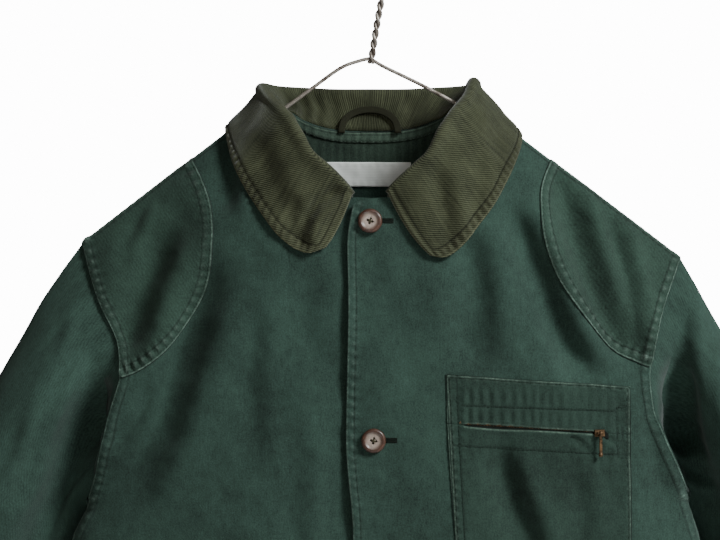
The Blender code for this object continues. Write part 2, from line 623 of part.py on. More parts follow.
# ---------------------------------------------------------------- sleeves
def sleeve_surface(side, front, back):
    """Rings from the armhole to the cuff; each ring runs over the front, then the back."""
    last = len(UPPER_ROWS)
    back_column = 0 if side == RIGHT else -1
    armhole = np.concatenate([front[0][-1, :last], back[0][back_column, 1:last - 1][::-1]])
    rim_normals = np.concatenate([front[1][-1, :last],
                                  back[1][back_column, 1:last - 1][::-1]])
    armhole = armhole.copy()
    armhole[[0, last - 1], 1] = 0
    count = len(armhole)
    is_front = np.arange(count) < last
    walk = np.linalg.norm(np.diff(armhole, axis=0, append=armhole[:1]), axis=1)
    front_walk = np.concatenate([[0], np.cumsum(walk[:last - 1])])
    back_walk = np.cumsum(walk[last - 1:])[:-1]
    angle = np.concatenate([pi * front_walk / front_walk[-1],
                            pi + pi * back_walk / walk[last - 1:].sum()])
    top, bottom = armhole[0], armhole[last - 1]
    chord = bottom - top
    square = np.array([chord[2], 0, -chord[0]])
    along = (armhole - top) @ chord / (chord @ chord)
    aside = (armhole - top) @ square / (square @ square)

    swing, lobe = np.cos(angle), np.abs(np.sin(angle))
    reach = np.sign(swing) * np.abs(swing) ** (2 / SLEEVE_POWER)
    lobe = lobe ** (2 / SLEEVE_POWER)
    rings = []
    for row in SLEEVES[side]:
        outer = np.array([side * row.outer_x, 0, row.outer_z])
        inner = np.array([side * row.inner_x, row.inner_y, row.inner_z])
        round_ring = (outer + inner) / 2 + np.outer(reach, (outer - inner) / 2)
        round_ring[:, 1] += lobe * np.where(is_front, -row.front, row.back)
        line = inner - outer
        across = np.array([line[2], 0, -line[0]])
        armhole_ring = outer + np.outer(along, line) + np.outer(aside, across)
        armhole_ring[:, 1] += armhole[:, 1]
        rings.append((1 - row.blend) * armhole_ring + row.blend * round_ring)
    rings = np.array(rings)
    around = np.roll(armhole, -1, axis=0) - np.roll(armhole, 1, axis=0)
    outward = unit(np.cross(around, rim_normals))
    outward *= np.sign(np.sum(outward * (rings[0] - armhole), axis=1))[:, None]
    first = armhole + outward * (SEAM + CUT_AIR)
    first[last - 1] = armhole[last - 1] + np.array([side * UNDERARM_AIR, 0, 0])
    points = np.concatenate([first[None], rings])
    towards_front = np.where(is_front, 1, 0.0)[None, :] * np.clip(lobe, 0, 1)[None, :]
    folded = fold_depth(points[..., 0], points[..., 2], SLEEVE_FOLDS)
    ease_in = np.clip(np.arange(len(points)) / FOLDS_EASE_IN, 0, 1)[:, None]
    points[..., 1] += folded * towards_front * ease_in
    points = np.swapaxes(points, 0, 1)
    around = np.roll(points, -1, axis=0) - np.roll(points, 1, axis=0)
    down = np.gradient(points, axis=1)
    normals = unit(np.cross(around, down))
    middle = points.mean(axis=0, keepdims=True)
    if np.mean(np.sum(normals * (points - middle), axis=-1)) < 0:
        normals = -normals
    underarm_normal = normals[last - 1, 0].copy()
    normals[:, 0] = rim_normals
    normals[last - 1, 0] = underarm_normal
    return points, normals


# ---------------------------------------------------------------- collar
def collar_section(neck, station, side, face, tangent):
    """Middle line of the collar's cloth at one station: stand, roll and fall."""
    roll = np.array([side * station.roll_x, station.roll_y, station.roll_z])
    x, z = side * station.edge_x, station.edge_z
    y = face * float(form_depth(x, z, face or FRONT, station.lift)) if face else 0.0
    edge = np.array([x, y, z])
    upward = unit(unit(roll - neck) + np.array([0, 0, 1.0]))
    upward = unit(upward - tangent * np.dot(upward, tangent))
    outward = unit(np.cross(tangent, upward))
    if np.dot(outward, edge - roll) < 0:
        outward = -outward
    radius = station.radius
    centre = roll - upward * radius
    stand_top = centre - outward * radius
    points = [neck + (stand_top - neck) * t for t in STAND_STEPS]
    for degrees in ROLL_DEGREES:
        angle = radians(degrees)
        points.append(centre + radius * (cos(angle) * outward + sin(angle) * upward))
    start = points[-1]
    length = np.linalg.norm(edge - start)
    leave = start - upward * FALL_LEAVES * length
    arrive = edge + (start - edge) * FALL_ARRIVES + outward * FALL_ROUND * length
    bend = np.cross(outward, unit(edge - start)) * station.bow
    if bend[0] * side > 0:
        bend = -bend
    for t in FALL_STEPS:
        point = ((1 - t) ** 3 * start + 3 * (1 - t) ** 2 * t * leave
                 + 3 * (1 - t) * t**2 * arrive + t**3 * edge)
        point = point + bend * 4 * t * (1 - t)
        if face:
            clear = float(form_depth(point[0], point[2], face, CORDUROY / 2 + SEAM + FALL_AIR))
            if clear > 0:
                point[1] = face * max(face * point[1], clear)
        points.append(point)
    return points


def neck_rim(surface, column):
    """Middle of the wall's rim there, its normal and the direction off the panel."""
    points, normals = surface
    rim = points[:, 0]
    normal = normals[column, 0]
    off = unit(np.cross(rim[column + 1] - rim[column - 1], normal))
    if np.dot(off, (-rim[column][0], 0, NECK_Z - rim[column][2] + 1)) < 0:
        off = -off
    twist = NECK_TWIST * eased((abs(rim[column][0]) - TWIST_START) / TWIST_RUN)
    inward = CORDUROY / 2 + TWIST_INWARD * twist
    return rim[column] - normal * inward + off * (SEAM + CUT_AIR + twist), normal


def collar_surface(fronts, back):
    """The collar's middle surface, from the right front end round to the left one."""
    stations = []
    for side in (RIGHT, LEFT):
        row = []
        for i, station in enumerate(COLLAR_FRONT[side]):
            neck, normal = neck_rim(fronts[side], LAP_COLUMNS + i)
            row.append((neck, normal, station, side, FRONT))
        corner = np.array([side * NECK_X, 0, NECK_Z])
        slope = shoulder_slope(side)
        up_seam = unit(np.array([-side, 0, slope]))
        normal = unit(np.array([side * slope, 0, 1]))
        inward = CORDUROY / 2 + TWIST_INWARD * NECK_TWIST
        neck = corner - normal * inward + up_seam * (SEAM + CUT_AIR + TWIST_CORNER * NECK_TWIST)
        row.append((neck, normal, COLLAR_SIDE[side], side, 0))
        first = len(shoulder_run(RIGHT)) + 1
        for i, station in enumerate(COLLAR_BACK[:-1]):
            column = first + i if side == RIGHT else first + 2 * len(COLLAR_BACK) - 2 - i
            neck, normal = neck_rim(back, column)
            row.append((neck, normal, station, side, BACK))
        stations += row if side == RIGHT else [None] + row[::-1]
    middle = stations.index(None)
    neck, normal = neck_rim(back, len(shoulder_run(RIGHT)) + len(COLLAR_BACK))
    stations[middle] = (neck, normal, COLLAR_BACK[-1], RIGHT, BACK)

    rolls = np.array([[side * s.roll_x, s.roll_y, s.roll_z] for _, _, s, side, _ in stations])
    tangents = unit(np.gradient(rolls, axis=0))
    lines = [collar_section(neck, station, side, face, tangent)
             for (neck, _, station, side, face), tangent in zip(stations, tangents)]
    points = np.array(lines)
    normals = unit(np.cross(np.gradient(points, axis=0), np.gradient(points, axis=1)))
    rim_normals = np.array([normal for _, normal, _, _, _ in stations])
    if np.mean(np.sum(normals[:, 1] * rim_normals, axis=1)) < 0:
        normals = -normals
    normals[:, 0] = rim_normals
    return points, normals


# ---------------------------------------------------------------- pieces on the panels
def shoulder_patch(side, front, cloth):
    """The front grid's upper outer part, moved out and cut to the patch's outline."""
    name = "shoulder_patch_right" if side == RIGHT else "shoulder_patch_left"
    points, normals = front
    patch = shell(name, (points[PATCH_PART], normals[PATCH_PART]), SEAM, SEAM + PATCH, cloth)
    edge = curve_through([(side * x, z) for x, z in PATCH_EDGES[side]], 2)
    far, high = PATCH_CUTTER_CORNER
    outline = list(edge) + [(side * far, PATCH_EDGES[side][-1][1]), (side * far, high),
                            (edge[0][0], high)]
    return combine(patch, prism(name + "_cutter", outline, *CUTTER_PATCH), "INTERSECT")


def slit_outline(clear):
    (x0, z0), (x1, z1) = ZIP_ENDS
    along = unit(np.array([x1 - x0, z1 - z0], float))
    across = np.array([-along[1], along[0]]) * (ZIP_SLIT / 2 - clear)
    start = np.array(ZIP_ENDS[0]) + along * clear
    end = np.array(ZIP_ENDS[1]) - along * clear
    return [start + across, start - across, end - across, end + across]


def chest_pocket(front, cloth, tape):
    points, normals = front
    part = (points[POCKET_PART], normals[POCKET_PART])
    pocket = shell("chest_pocket", part, SEAM, SEAM + POCKET_WALL, cloth)
    outline = rounded_outline(POCKET_CORNERS, POCKET_RADII)
    combine(pocket, prism("pocket_cutter", outline, *CUTTER_FRONT), "INTERSECT")
    combine(pocket, prism("slit_cutter", slit_outline(0), *CUTTER_FRONT), "DIFFERENCE")
    chain = shell("pocket_zip", part, SEAM, SEAM + POCKET_WALL, tape)
    combine(chain, prism("zip_cutter", slit_outline(SEAM + 0.02), *CUTTER_FRONT), "INTERSECT")
    return pocket


def place_on(surface, offset, x, z):
    """Point and outward direction on a faceted grid, moved out, under a front-view point."""
    points, normals = surface
    moved = (points + normals * offset).reshape(-1, 3)
    faces = grid_faces(*points.shape[:2])
    tree = BVHTree.FromPolygons([tuple(p) for p in moved], faces)
    spot, normal, _, _ = tree.ray_cast(Vector((x, -300, z)), Vector((0, 1, 0)))
    if normal.y > 0:
        normal = -normal
    return spot, normal


def facing_frame(spot, normal):
    """Local X level along the cloth, Y up, Z out of the cloth."""
    out = normal.normalized()
    level = Vector((0, 0, 1)).cross(out).normalized()
    upward = out.cross(level)
    turn = Matrix((level, upward, out)).transposed().to_4x4()
    return Matrix.Translation(spot * MM) @ turn


def sew_button(number, place, front, finish):
    name = f"button_{number}"
    button = lathe(name, BUTTON_PROFILE, 16, finish)
    spot, normal = place_on(front, 0, *place)
    frame = facing_frame(spot + normal * (SEAM + BUTTON_AIR), normal)
    button.matrix_world = frame
    drill = [(0, -2), (BUTTON_HOLE, -2), (BUTTON_HOLE, 8), (0, 8)]
    for hole in range(4):
        angle = pi / 4 + hole * pi / 2
        cutter = lathe(f"{name}_hole_{hole}", drill, 6, None)
        centre = Vector((cos(angle), sin(angle), 0)) * BUTTON_HOLES_AT * MM
        cutter.matrix_world = frame @ Matrix.Translation(centre)
        combine(button, as_cutter(cutter), "DIFFERENCE")
    return button


def block(name, size, centre, finish):
    """A box with its edges cut, in the slider's own frame."""
    builder = bmesh.new()
    bmesh.ops.create_cube(builder, size=1)
    for vertex in builder.verts:
        vertex.co = Vector([(c * s + m) * MM for c, s, m in zip(vertex.co, size, centre)])
    bevel = min(size) * 0.22 * MM
    bmesh.ops.bevel(builder, geom=builder.edges[:], offset=bevel, segments=1, affect="EDGES")
    mesh = bpy.data.meshes.new(name)
    builder.to_mesh(mesh)
    builder.free()
    added = bpy.data.objects.new(name, mesh)
    bpy.context.scene.collection.objects.link(added)
    if finish:
        mesh.materials.append(finish)
    return added


def zip_slider_and_pull(front, brass):
    """The slider lies on the zip; the pull's eye hangs round the bar of its bail."""
    spot, normal = place_on(front, SEAM + POCKET_WALL, *SLIDER_AT)
    frame = facing_frame(spot + normal * (SEAM + BUTTON_AIR), normal)
    slider = block("zip_slider", *SLIDER, brass)
    slider.matrix_world = frame
    for name, post_x in (("bail_post_a", -BAIL_POST_X), ("bail_post_b", BAIL_POST_X)):
        post = block(name, BAIL_POST, (post_x, 0, BAIL_POST_Z), None)
        post.matrix_world = frame
        combine(slider, as_cutter(post), "UNION")
    reach = BAIL_POST_X + 0.1
    bar = sweep("bail_bar", [(-reach, 0, BAIL_OUT), (reach, 0, BAIL_OUT)],
                circle(BAIL_BAR, 8), None)
    bar.matrix_world = frame
    combine(slider, as_cutter(bar), "UNION")

    hinge = frame @ Vector((0, 0, BAIL_OUT * MM))
    level = frame.to_3x3() @ Vector((1, 0, 0))
    out = level.cross(Vector((0, 0, 1)))
    if out.y > 0:
        out = -out
    hanging = Matrix((level, out.cross(level), out)).transposed().to_4x4()
    hanging = Matrix.Translation(hinge) @ hanging
    ends = [(0, 1 - PULL_LENGTH, 0), (0, PULL_STRIP_TOP, 0)]
    pull = sweep("zip_pull", ends, PULL_STRIP, brass)
    pull.matrix_world = hanging
    eye = lathe("pull_eye", PULL_EYE, 12, None)
    eye.matrix_world = hanging @ Matrix.Rotation(pi / 2, 4, "Y")
    knob = lathe("pull_knob", PULL_KNOB, 10, None)
    knob.matrix_world = (hanging @ Matrix.Translation((0, (PULL_KNOB_AT - PULL_LENGTH) * MM, 0))
                         @ Matrix.Rotation(pi / 2, 4, "X"))
    drill = [(0, -3), (PULL_HOLE, -3), (PULL_HOLE, 3), (0, 3)]
    hole = lathe("pull_hole", drill, 10, None)
    hole.matrix_world = eye.matrix_world.copy()
    combine(pull, as_cutter(eye), "UNION")
    combine(pull, as_cutter(knob), "UNION")
    combine(pull, as_cutter(hole), "DIFFERENCE")


# ---------------------------------------------------------------- inside the neck
def inside_neck(back, canvas, tape, label):
    """The half-moon facing, the tape over the neck seam and the label, on the back's inside."""
    points, normals = back
    middle = len(points) // 2
    inside = (slice(middle - NECK_COLUMNS, middle + NECK_COLUMNS + 1), NECK_ROWS)
    part = (points[inside], normals[inside])
    outer = -CANVAS - SEAM
    facing = shell("neck_facing", part, outer - INNER_CLOTH, outer, canvas)
    half_width, drop = FACING_RIM
    below_rim = [(x, z - drop) for x, z in neck_arc(half_width)]
    outline = list(curve_through(FACING[1:-1], 3)) + below_rim[::-1]
    combine(facing, prism("facing_cutter", outline, *CUTTER_BACK), "INTERSECT")
    outer -= INNER_CLOTH + SEAM
    strip = shell("neck_tape", part, outer - INNER_CLOTH, outer, tape)
    lower = [(x, z - TAPE_HEIGHT) for x, z in below_rim]
    tape_cutter = prism("tape_cutter", lower + below_rim[::-1], *CUTTER_BACK)
    combine(strip, tape_cutter, "INTERSECT")
    tag = shell("neck_label", part, outer - INNER_CLOTH, outer, label)
    combine(tag, prism("label_cutter", LABEL_CORNERS, *CUTTER_BACK), "INTERSECT")


def neck_arc(half_width):
    return [(x, float(back_neckline(abs(x)))) for x in np.linspace(-half_width, half_width, 19)]


def hanging_loop(cloth):
    """A strap in an arch, standing clear of the collar's stand at the back of the neck."""
    width, thickness = LOOP_STRAP
    strap = [(a * width / 2, b * thickness / 2) for a, b in ((-1, -1), (1, -1), (1, 1), (-1, 1))]
    path = []
    for degrees in range(0, 181, 12):
        rise = LOOP_RISE * sin(radians(degrees)) ** LOOP_ARCH
        path.append((-LOOP_SPAN / 2 * cos(radians(degrees)), LOOP_FOOT[0] + LOOP_LEAN * rise,
                     LOOP_FOOT[1] + rise))
    return sweep("hanging_loop", path, strap, cloth)


# ---------------------------------------------------------------- hanger
def bezier(p0, p1, p2, p3, count):
    t = np.linspace(0, 1, count)[:, None]
    p0, p1, p2, p3 = (np.array(p, float) for p in (p0, p1, p2, p3))
    return ((1 - t) ** 3 * p0 + 3 * (1 - t) ** 2 * t * p1 + 3 * (1 - t) * t**2 * p2
            + t**3 * p3)


def hanger(steel):
    """The hook runs down into a twisted neck; one wire makes the arms and the bar."""
    centre = HOOK + WIRE
    join_degrees, first, last = HOOK_DEGREES
    start = radians(join_degrees)
    foot = np.array(NECK_FOOT, float)
    join = np.array([centre * cos(start), centre * sin(start) - HOOK])
    neck = bezier(foot, foot + NECK_LEAVES, join - NECK_JOINS, join, 32)
    turns = np.radians(range(first, last, 15))
    arc = [(centre * cos(a), centre * sin(a) - HOOK) for a in turns]
    path = [(x, 0, z) for x, z in list(neck) + arc]
    angles = np.linspace(0, 2 * pi, 10, endpoint=False)

    def strands(i):
        height = path[i][2]
        twist = 2 * pi * (height - NECK_FOOT[1]) / TWIST_PITCH
        single = float(eased((height - TWIST_TOP) / TWIST_FADE)) if i < len(neck) else 1.0
        section = []
        for a in angles:
            lobed = max(2 * abs(cos(a - twist)), TWIST_WAIST)
            reach = WIRE * ((1 - single) * lobed + single)
            section.append((reach * cos(a), reach * sin(a)))
        return section

    hook = sweep("hanger_wire", path, strands, steel)
    right, left = hanger_side(RIGHT), hanger_side(LEFT)
    route = [(x, 0, z) for x, z in right + left[::-1]]
    arms = sweep("hanger_arms", route, circle(WIRE, 8), steel)
    return combine(hook, as_cutter(arms), "UNION")


def hanger_side(side):
    """The wire from the twisted neck down one arm and round its corner to the bar."""
    arm = curve_through(ARM_STARTS[side], 3)
    end_z = float(seam_height(side * HANGER_END_X)) - WIRE_BELOW_SEAM
    end = np.array([HANGER_END_X, end_z])
    way = unit(end - arm[-1])
    corner = end + HANGER_CORNER * np.array([way[1], -way[0]])
    turns = np.linspace(np.arctan2(way[0], -way[1]), -pi / 2, 9)
    bend = [corner + HANGER_CORNER * np.array([cos(a), sin(a)]) for a in turns]
    return [(side * x, z) for x, z in list(arm) + bend]


def main():
    for old in list(bpy.data.objects):
        bpy.data.objects.remove(old, do_unlink=True)
    canvas = material("canvas", (0.026, 0.05, 0.038), 0.9)
    corduroy = material("corduroy", (0.035, 0.036, 0.02), 0.95)
    horn = material("button", (0.2, 0.09, 0.045), 0.35)
    brass = material("zip_brass", (0.3, 0.13, 0.055), 0.4, 0.9)
    zip_tape = material("zip_tape", (0.01, 0.012, 0.009), 0.9)
    label = material("label", (0.72, 0.73, 0.68), 0.7)
    steel = material("hanger_steel", (0.28, 0.25, 0.22), 0.4, 0.9)

    fronts = {side: front_surface(side) for side in (RIGHT, LEFT)}
    back = back_surface()
    shell("front_right", fronts[RIGHT], -CANVAS, 0, canvas)
    shell("front_left", fronts[LEFT], -CANVAS, 0, canvas)
    shell("back", back, -CANVAS, 0, canvas)
    for side, name in ((RIGHT, "sleeve_right"), (LEFT, "sleeve_left")):
        sleeve = sleeve_surface(side, fronts[side], back)
        shell(name, sleeve, -CANVAS, 0, canvas, closed=True)
        shoulder_patch(side, fronts[side], canvas)
    shell("collar", collar_surface(fronts, back), -CORDUROY / 2, CORDUROY / 2, corduroy)
    chest_pocket(fronts[LEFT], canvas, zip_tape)
    zip_slider_and_pull(fronts[LEFT], brass)
    for number, place in enumerate(BUTTONS, 1):
        sew_button(number, place, fronts[LEFT], horn)
    inside_neck(back, canvas, canvas, label)
    hanging_loop(canvas)
    hanger(steel)


main()
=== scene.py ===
"""Looks of the hunting jacket on its wire hanger.

The cloth pieces are fine meshes on the forms of their CAD nodes: the same sections and
folds, with creases, seam puckers, raised seam edges, corduroy wales and stitches added.
Lengths are millimetres until MM turns them into metres; axes are the frame's.
"""

from collections import namedtuple
from math import cos, pi, radians, sin

import bmesh
import bpy
import numpy as np
from mathutils import Matrix, Vector


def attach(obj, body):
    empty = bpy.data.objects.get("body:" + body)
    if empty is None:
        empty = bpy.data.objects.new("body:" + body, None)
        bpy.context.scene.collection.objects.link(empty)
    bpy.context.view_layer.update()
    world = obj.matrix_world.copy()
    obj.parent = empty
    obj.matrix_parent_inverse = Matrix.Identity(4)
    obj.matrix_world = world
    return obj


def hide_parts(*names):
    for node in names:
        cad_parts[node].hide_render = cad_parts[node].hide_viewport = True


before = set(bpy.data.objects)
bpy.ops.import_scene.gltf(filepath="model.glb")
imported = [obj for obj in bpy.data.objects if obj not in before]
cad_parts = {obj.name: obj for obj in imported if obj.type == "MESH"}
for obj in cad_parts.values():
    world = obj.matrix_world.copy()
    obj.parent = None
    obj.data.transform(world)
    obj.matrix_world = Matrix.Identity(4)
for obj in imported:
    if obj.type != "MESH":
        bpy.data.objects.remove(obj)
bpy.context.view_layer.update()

MM = 0.001
RIGHT, LEFT = -1, 1  # the wearer's sides, the sign of X
SIDES = {RIGHT: "right", LEFT: "left"}
FRONT, BACK = -1, 1  # the sign of Y

# ---------------------------------------------------------------- sizes shared with the CAD
CANVAS = 1.5
CORDUROY = 2.2
SEAM = 0.3
PATCH = 1.2
HEM_Z = -919
NECK_X, NECK_Z = 85, -150
COLLAR_START = (15, -240)
BACK_NECK_Z = -179
NECK_TWIST = 1.15
SHOULDER = {RIGHT: (253, -279), LEFT: (273, -292)}
UNDERARM = {RIGHT: (246, -504), LEFT: (276, -496)}
SHOULDER_ROUND = 75
SECTION_POWER = 2.6
UNDERLAP = (60, 20, 6)


def table(columns, *rows):
    """Rows whose columns have names."""
    row = namedtuple("Row", columns)
    return [row(*values) for values in rows]


WIDTH = "z half_width"
HALF_WIDTHS = {
    RIGHT: table(WIDTH, (-919, 267), (-600, 264), (-540, 261), (-522, 253), (-504, 246),
                 (-475, 254), (-440, 262), (-250, 262)),
    LEFT: table(WIDTH, (-919, 295), (-600, 293), (-540, 290), (-517, 283), (-496, 276),
                (-468, 281), (-430, 285), (-250, 285)),
}
DEPTHS = table("z front back", (-919, 61, 46), (-600, 58, 45), (-250, 56, 48))
ARMHOLE = "z front_x back_x"
ARMHOLES = {
    RIGHT: table(ARMHOLE, (-504, 246, 246), (-481, 241, 242), (-450, 233, 238), (-421, 225, 236),
                 (-393, 217, 236), (-367, 221, 239), (-329, 237, 246), (-279, 253, 253)),
    LEFT: table(ARMHOLE, (-496, 276, 276), (-473, 267, 270), (-450, 257, 263), (-422, 247, 258),
                (-396, 243, 257), (-372, 246, 259), (-339, 255, 265), (-292, 273, 273)),
}
PLACKET_EDGE = table("z x", (-919, -15), (-533, -15), (-448, -21), (-328, -19), (-281, -20),
                     (-247, -15), (-240, -13))
UNDERLAP_EDGE = table("z x", (-919, 17), (-240, 17))

# A fold runs along its path in the front view; a trough has a positive depth.
FOLD = "width depth path"
FRONT_FOLDS = table(
    FOLD,
    (17, 5, [(-164, -262), (-192, -305), (-203, -349)]),
    (20, 7, [(-134, -319), (-147, -370), (-168, -435), (-192, -490)]),
    (17, 5, [(183, -262), (205, -310), (219, -352)]),
    (16, 5, [(130, -274), (152, -336), (187, -390)]),
    (17, 4, [(92, -300), (101, -372)]),
    (18, 5, [(112, -455), (124, -500), (133, -560)]),
    (24, 8, [(-118, -560), (-104, -680), (-112, -800)]),
    (26, 8, [(176, -640), (160, -760), (168, -870)]),
    (30, -6, [(-190, -590), (-182, -740), (-190, -919)])
)
BACK_FOLDS = table(
    FOLD,
    (22, 6, [(-196, -300), (-150, -420), (-140, -520)]),
    (22, 6, [(208, -310), (160, -410), (150, -530)]),
    (28, 8, [(-78, -520), (-92, -700), (-84, -880)]),
    (28, 8, [(96, -480), (84, -660), (92, -860)]),
    (30, 6, [(4, -640), (-6, -800), (0, -919)])
)
SLEEVE_FOLDS = table(
    FOLD,
    (17, 9, [(-228, -366), (-253, -440), (-281, -515), (-300, -570)]),
    (20, -5, [(-262, -320), (-290, -420), (-318, -505)]),
    (24, 7, [(-360, -560), (-395, -650), (-420, -720)]),
    (17, 8, [(252, -368), (268, -430), (296, -505), (322, -580)]),
    (20, -5, [(283, -330), (309, -420), (332, -505)]),
    (24, 7, [(382, -580), (418, -670), (440, -740)])
)
# A sleeve's rings: their outer and inner ends, depths, and how far they have left the armhole's
# form for a round one.
SLEEVES = {
    RIGHT: [
        (262, -290, 248, -506.5, 3, 38, 36, 0.12),
        (281, -318, 246.5, -511, 13, 41, 40, 0.32),
        (303, -356, 248.5, -519, 21, 44, 43, 0.55),
        (328, -399, 251, -530, 27, 46, 46, 0.78),
        (353, -443, 256, -546, 32, 47, 48, 0.93),
        (379, -487, 264, -568, 34, 47, 48, 1),
        (403, -530, 282, -603, 32, 46, 46, 1),
        (438, -600, 319, -660, 27, 45, 44, 1),
        (468, -672, 350, -721, 22, 43, 42, 1),
        (492, -746, 376, -784, 18, 41, 40, 1),
        (509, -806, 395, -838, 16, 40, 39, 1),
        (516, -842, 403, -870, 15, 39, 38, 1),
    ],
    LEFT: [
        (281, -306, 278, -498.5, 3, 38, 36, 0.12),
        (298, -337, 276.5, -503, 14, 41, 40, 0.32),
        (320, -376, 276.5, -511, 23, 44, 43, 0.55),
        (345, -420, 277.5, -523, 33, 44, 47, 0.78),
        (371, -464, 283, -539, 39, 45, 49, 0.93),
        (397, -507, 290, -564, 40, 46, 49, 1),
        (421, -549, 302, -612, 35, 46, 46, 1),
        (455, -618, 337, -678, 27, 45, 44, 1),
        (485, -690, 368, -739, 22, 43, 42, 1),
        (509, -764, 394, -802, 18, 41, 40, 1),
        (526, -824, 413, -856, 16, 40, 39, 1),
        (533, -860, 421, -888, 15, 39, 38, 1),
    ],
}
SLEEVE_POWER = 2.2

STATION = "turn roll_x roll_y roll_z edge_x edge_z lift radius bow"
COLLAR_FRONT = {
    RIGHT: table(
        STATION,
        (0, 14, -47, -236.5, 38, -283, 4, 1.9, 5),
        (8, 20, -51, -228.5, 51, -288, 4, 2.4, 3),
        (16, 28, -54, -220, 61, -286, 4, 2.9, 1.5),
        (27, 38, -57, -211, 76, -276, 4, 3.5, 0),
        (40, 50, -57, -201, 93, -255, 4, 4, 0),
        (54, 60, -53, -184, 107, -235, 4, 4.5, 0),
        (67, 70, -43, -168, 117, -215, 4, 5, 0),
        (79, 85, -27, -153, 122.5, -197, 4, 5, 0),
    ),
    LEFT: table(
        STATION,
        (0, 14, -51, -235.5, 51, -290, 4, 1.9, 5),
        (8, 20, -54, -228.5, 62, -292, 4, 2.4, 3),
        (16, 28, -56, -221, 72, -288, 4, 2.9, 1.5),
        (27, 38, -57, -212, 86, -274, 4, 3.5, 0),
        (40, 50, -57, -201, 100, -256, 4, 4, 0),
        (54, 60, -53, -182, 112, -238, 4, 4.5, 0),
        (67, 70, -43, -167, 122, -218, 4, 5, 0),
        (79, 84, -27, -151, 128.5, -201, 4, 5, 0),
    ),
}
RIGHT_SIDE, LEFT_SIDE = table(STATION, (90, 97, -5, -141, 125, -178, 3, 5, 0),
                              (90, 92, -5, -135, 131, -182, 3, 5, 0))
COLLAR_SIDE = {RIGHT: RIGHT_SIDE, LEFT: LEFT_SIDE}
COLLAR_BACK = table(
    STATION,
    (78, 94, 13, -139, 113, -186, 5, 5, 0),
    (62, 84, 27, -140, 92, -192, 6, 5, 0),
    (40, 58, 35, -141, 62, -197, 7, 5, 0),
    (20, 30, 38, -142, 31, -199, 8, 5, 0),
    (0, 0, 38.5, -142, 0, -200, 8, 5, 0),
)
PATCH_EDGES = {
    RIGHT: [(158, -200), (143, -229), (136, -255), (135, -277), (139, -311), (147, -333),
            (160, -354), (177, -373), (195, -387), (214, -396), (235, -397)],
    LEFT: [(160, -202), (149, -229), (147, -255), (152, -285), (165, -316), (188, -347),
           (210, -370), (231, -382), (242, -387), (262, -390)],
}
POCKET_CORNERS = [(65, -392), (224, -403), (225, -584), (75, -576)]
POCKET_WALL = 1.4
ZIP_ENDS = ((77, -435), (202, -443))
BUTTONS = [(0, -260.7), (3, -448.6), (3, -636.5), (2, -824.4)]
FACING = [(-84, -150), (-76, -186), (-58, -209), (-30, -223), (0, -227), (32, -223),
          (60, -208), (77, -186), (84, -150)]
TAPE_HEIGHT = 10
LABEL_CORNERS = [(-42, -206), (37, -206), (37, -228), (-42, -228)]
INNER_CLOTH = 0.8
LOOP_SPAN, LOOP_RISE, LOOP_HALF = 50, 21, (3, 0.8)  # the last is half the strap's section
LOOP_FOOT, LOOP_LEAN = (24.0, -181), 0.14
WIRE = 1.65
HOOK = 20
HANGER_END_X = 200
HANGER_CORNER = 10
WIRE_BELOW_SEAM = 5.0
NECK_FOOT = (1, -121)
TWIST_PITCH = 17
TWIST_TOP = -56
ARM_STARTS = {RIGHT: [(0, -117), (9, -119), (26, -125.5), (52.5, -144.5), (77, -162.5)],
              LEFT: [(2, -118), (13, -124.5), (44, -139.5), (77, -157)]}

# ---------------------------------------------------------------- sizes of the scene's detail
PUCKER = 8.6  # mm from one pucker to the next
STITCH, STITCH_GAP, THREAD = 2.7, 0.9, 0.24
WALE = 2.0
FAR = 30.0  # mm, a distance at which a sewn edge no longer shows


# ---------------------------------------------------------------- small mathematics
def smooth_through(z, rows, column):
    """A monotone cubic through one column of a table whose rows are sorted by z."""
    return smooth_curve(z, *(np.array([getattr(row, key) for row in rows], float)
                             for key in ("z", column)))


def smooth_curve(x, xs, ys):
    slope = np.diff(ys) / np.diff(xs)
    tangent = np.zeros(len(xs))
    tangent[0], tangent[-1] = slope[0], slope[-1]
    product = slope[:-1] * slope[1:]
    safe = np.where(product > 0, slope[:-1] + slope[1:], 1)
    tangent[1:-1] = np.where(product > 0, 2 * product / safe, 0)
    x = np.clip(np.asarray(x, float), xs[0], xs[-1])
    i = np.clip(np.searchsorted(xs, x, side="right") - 1, 0, len(xs) - 2)
    width = xs[i + 1] - xs[i]
    return hermite((x - xs[i]) / width, width, i, ys, tangent)


def hermite(t, width, i, values, tangents):
    """A cubic between the values i and i + 1, at the share t of the width between them."""
    return ((2 * t**3 - 3 * t**2 + 1) * values[i] + (t**3 - 2 * t**2 + t) * width * tangents[i]
            + (3 * t**2 - 2 * t**3) * values[i + 1] + (t**3 - t**2) * width * tangents[i + 1])


def spline(places, values, at):
    """A smooth curve through points at uneven places, sampled at others; values may be arrays."""
    places, values = np.asarray(places, float), np.asarray(values, float)
    step = np.diff(places)
    shape = (-1,) + (1,) * (values.ndim - 1)
    slope = np.diff(values, axis=0) / step.reshape(shape)
    inner = ((slope[:-1] * step[1:].reshape(shape) + slope[1:] * step[:-1].reshape(shape))
             / (step[1:] + step[:-1]).reshape(shape))
    tangent = np.concatenate([slope[:1], inner, slope[-1:]])
    at = np.asarray(at, float)
    i = np.clip(np.searchsorted(places, at, side="right") - 1, 0, len(places) - 2)
    width = step[i].reshape(shape)
    return hermite((at - places[i]).reshape(shape) / width, width, i, values, tangent)


def eased(t):
    t = np.clip(t, 0, 1)
    return t * t * (3 - 2 * t)


def hump(d, width):
    return np.exp(-((d / width) ** 2))


def unit(v):
    return v / np.maximum(np.linalg.norm(v, axis=-1, keepdims=True), 1e-9)


def run_length(points):
    """Distance run along a line of points."""
    return np.concatenate([[0], np.cumsum(np.linalg.norm(np.diff(points, axis=0), axis=1))])


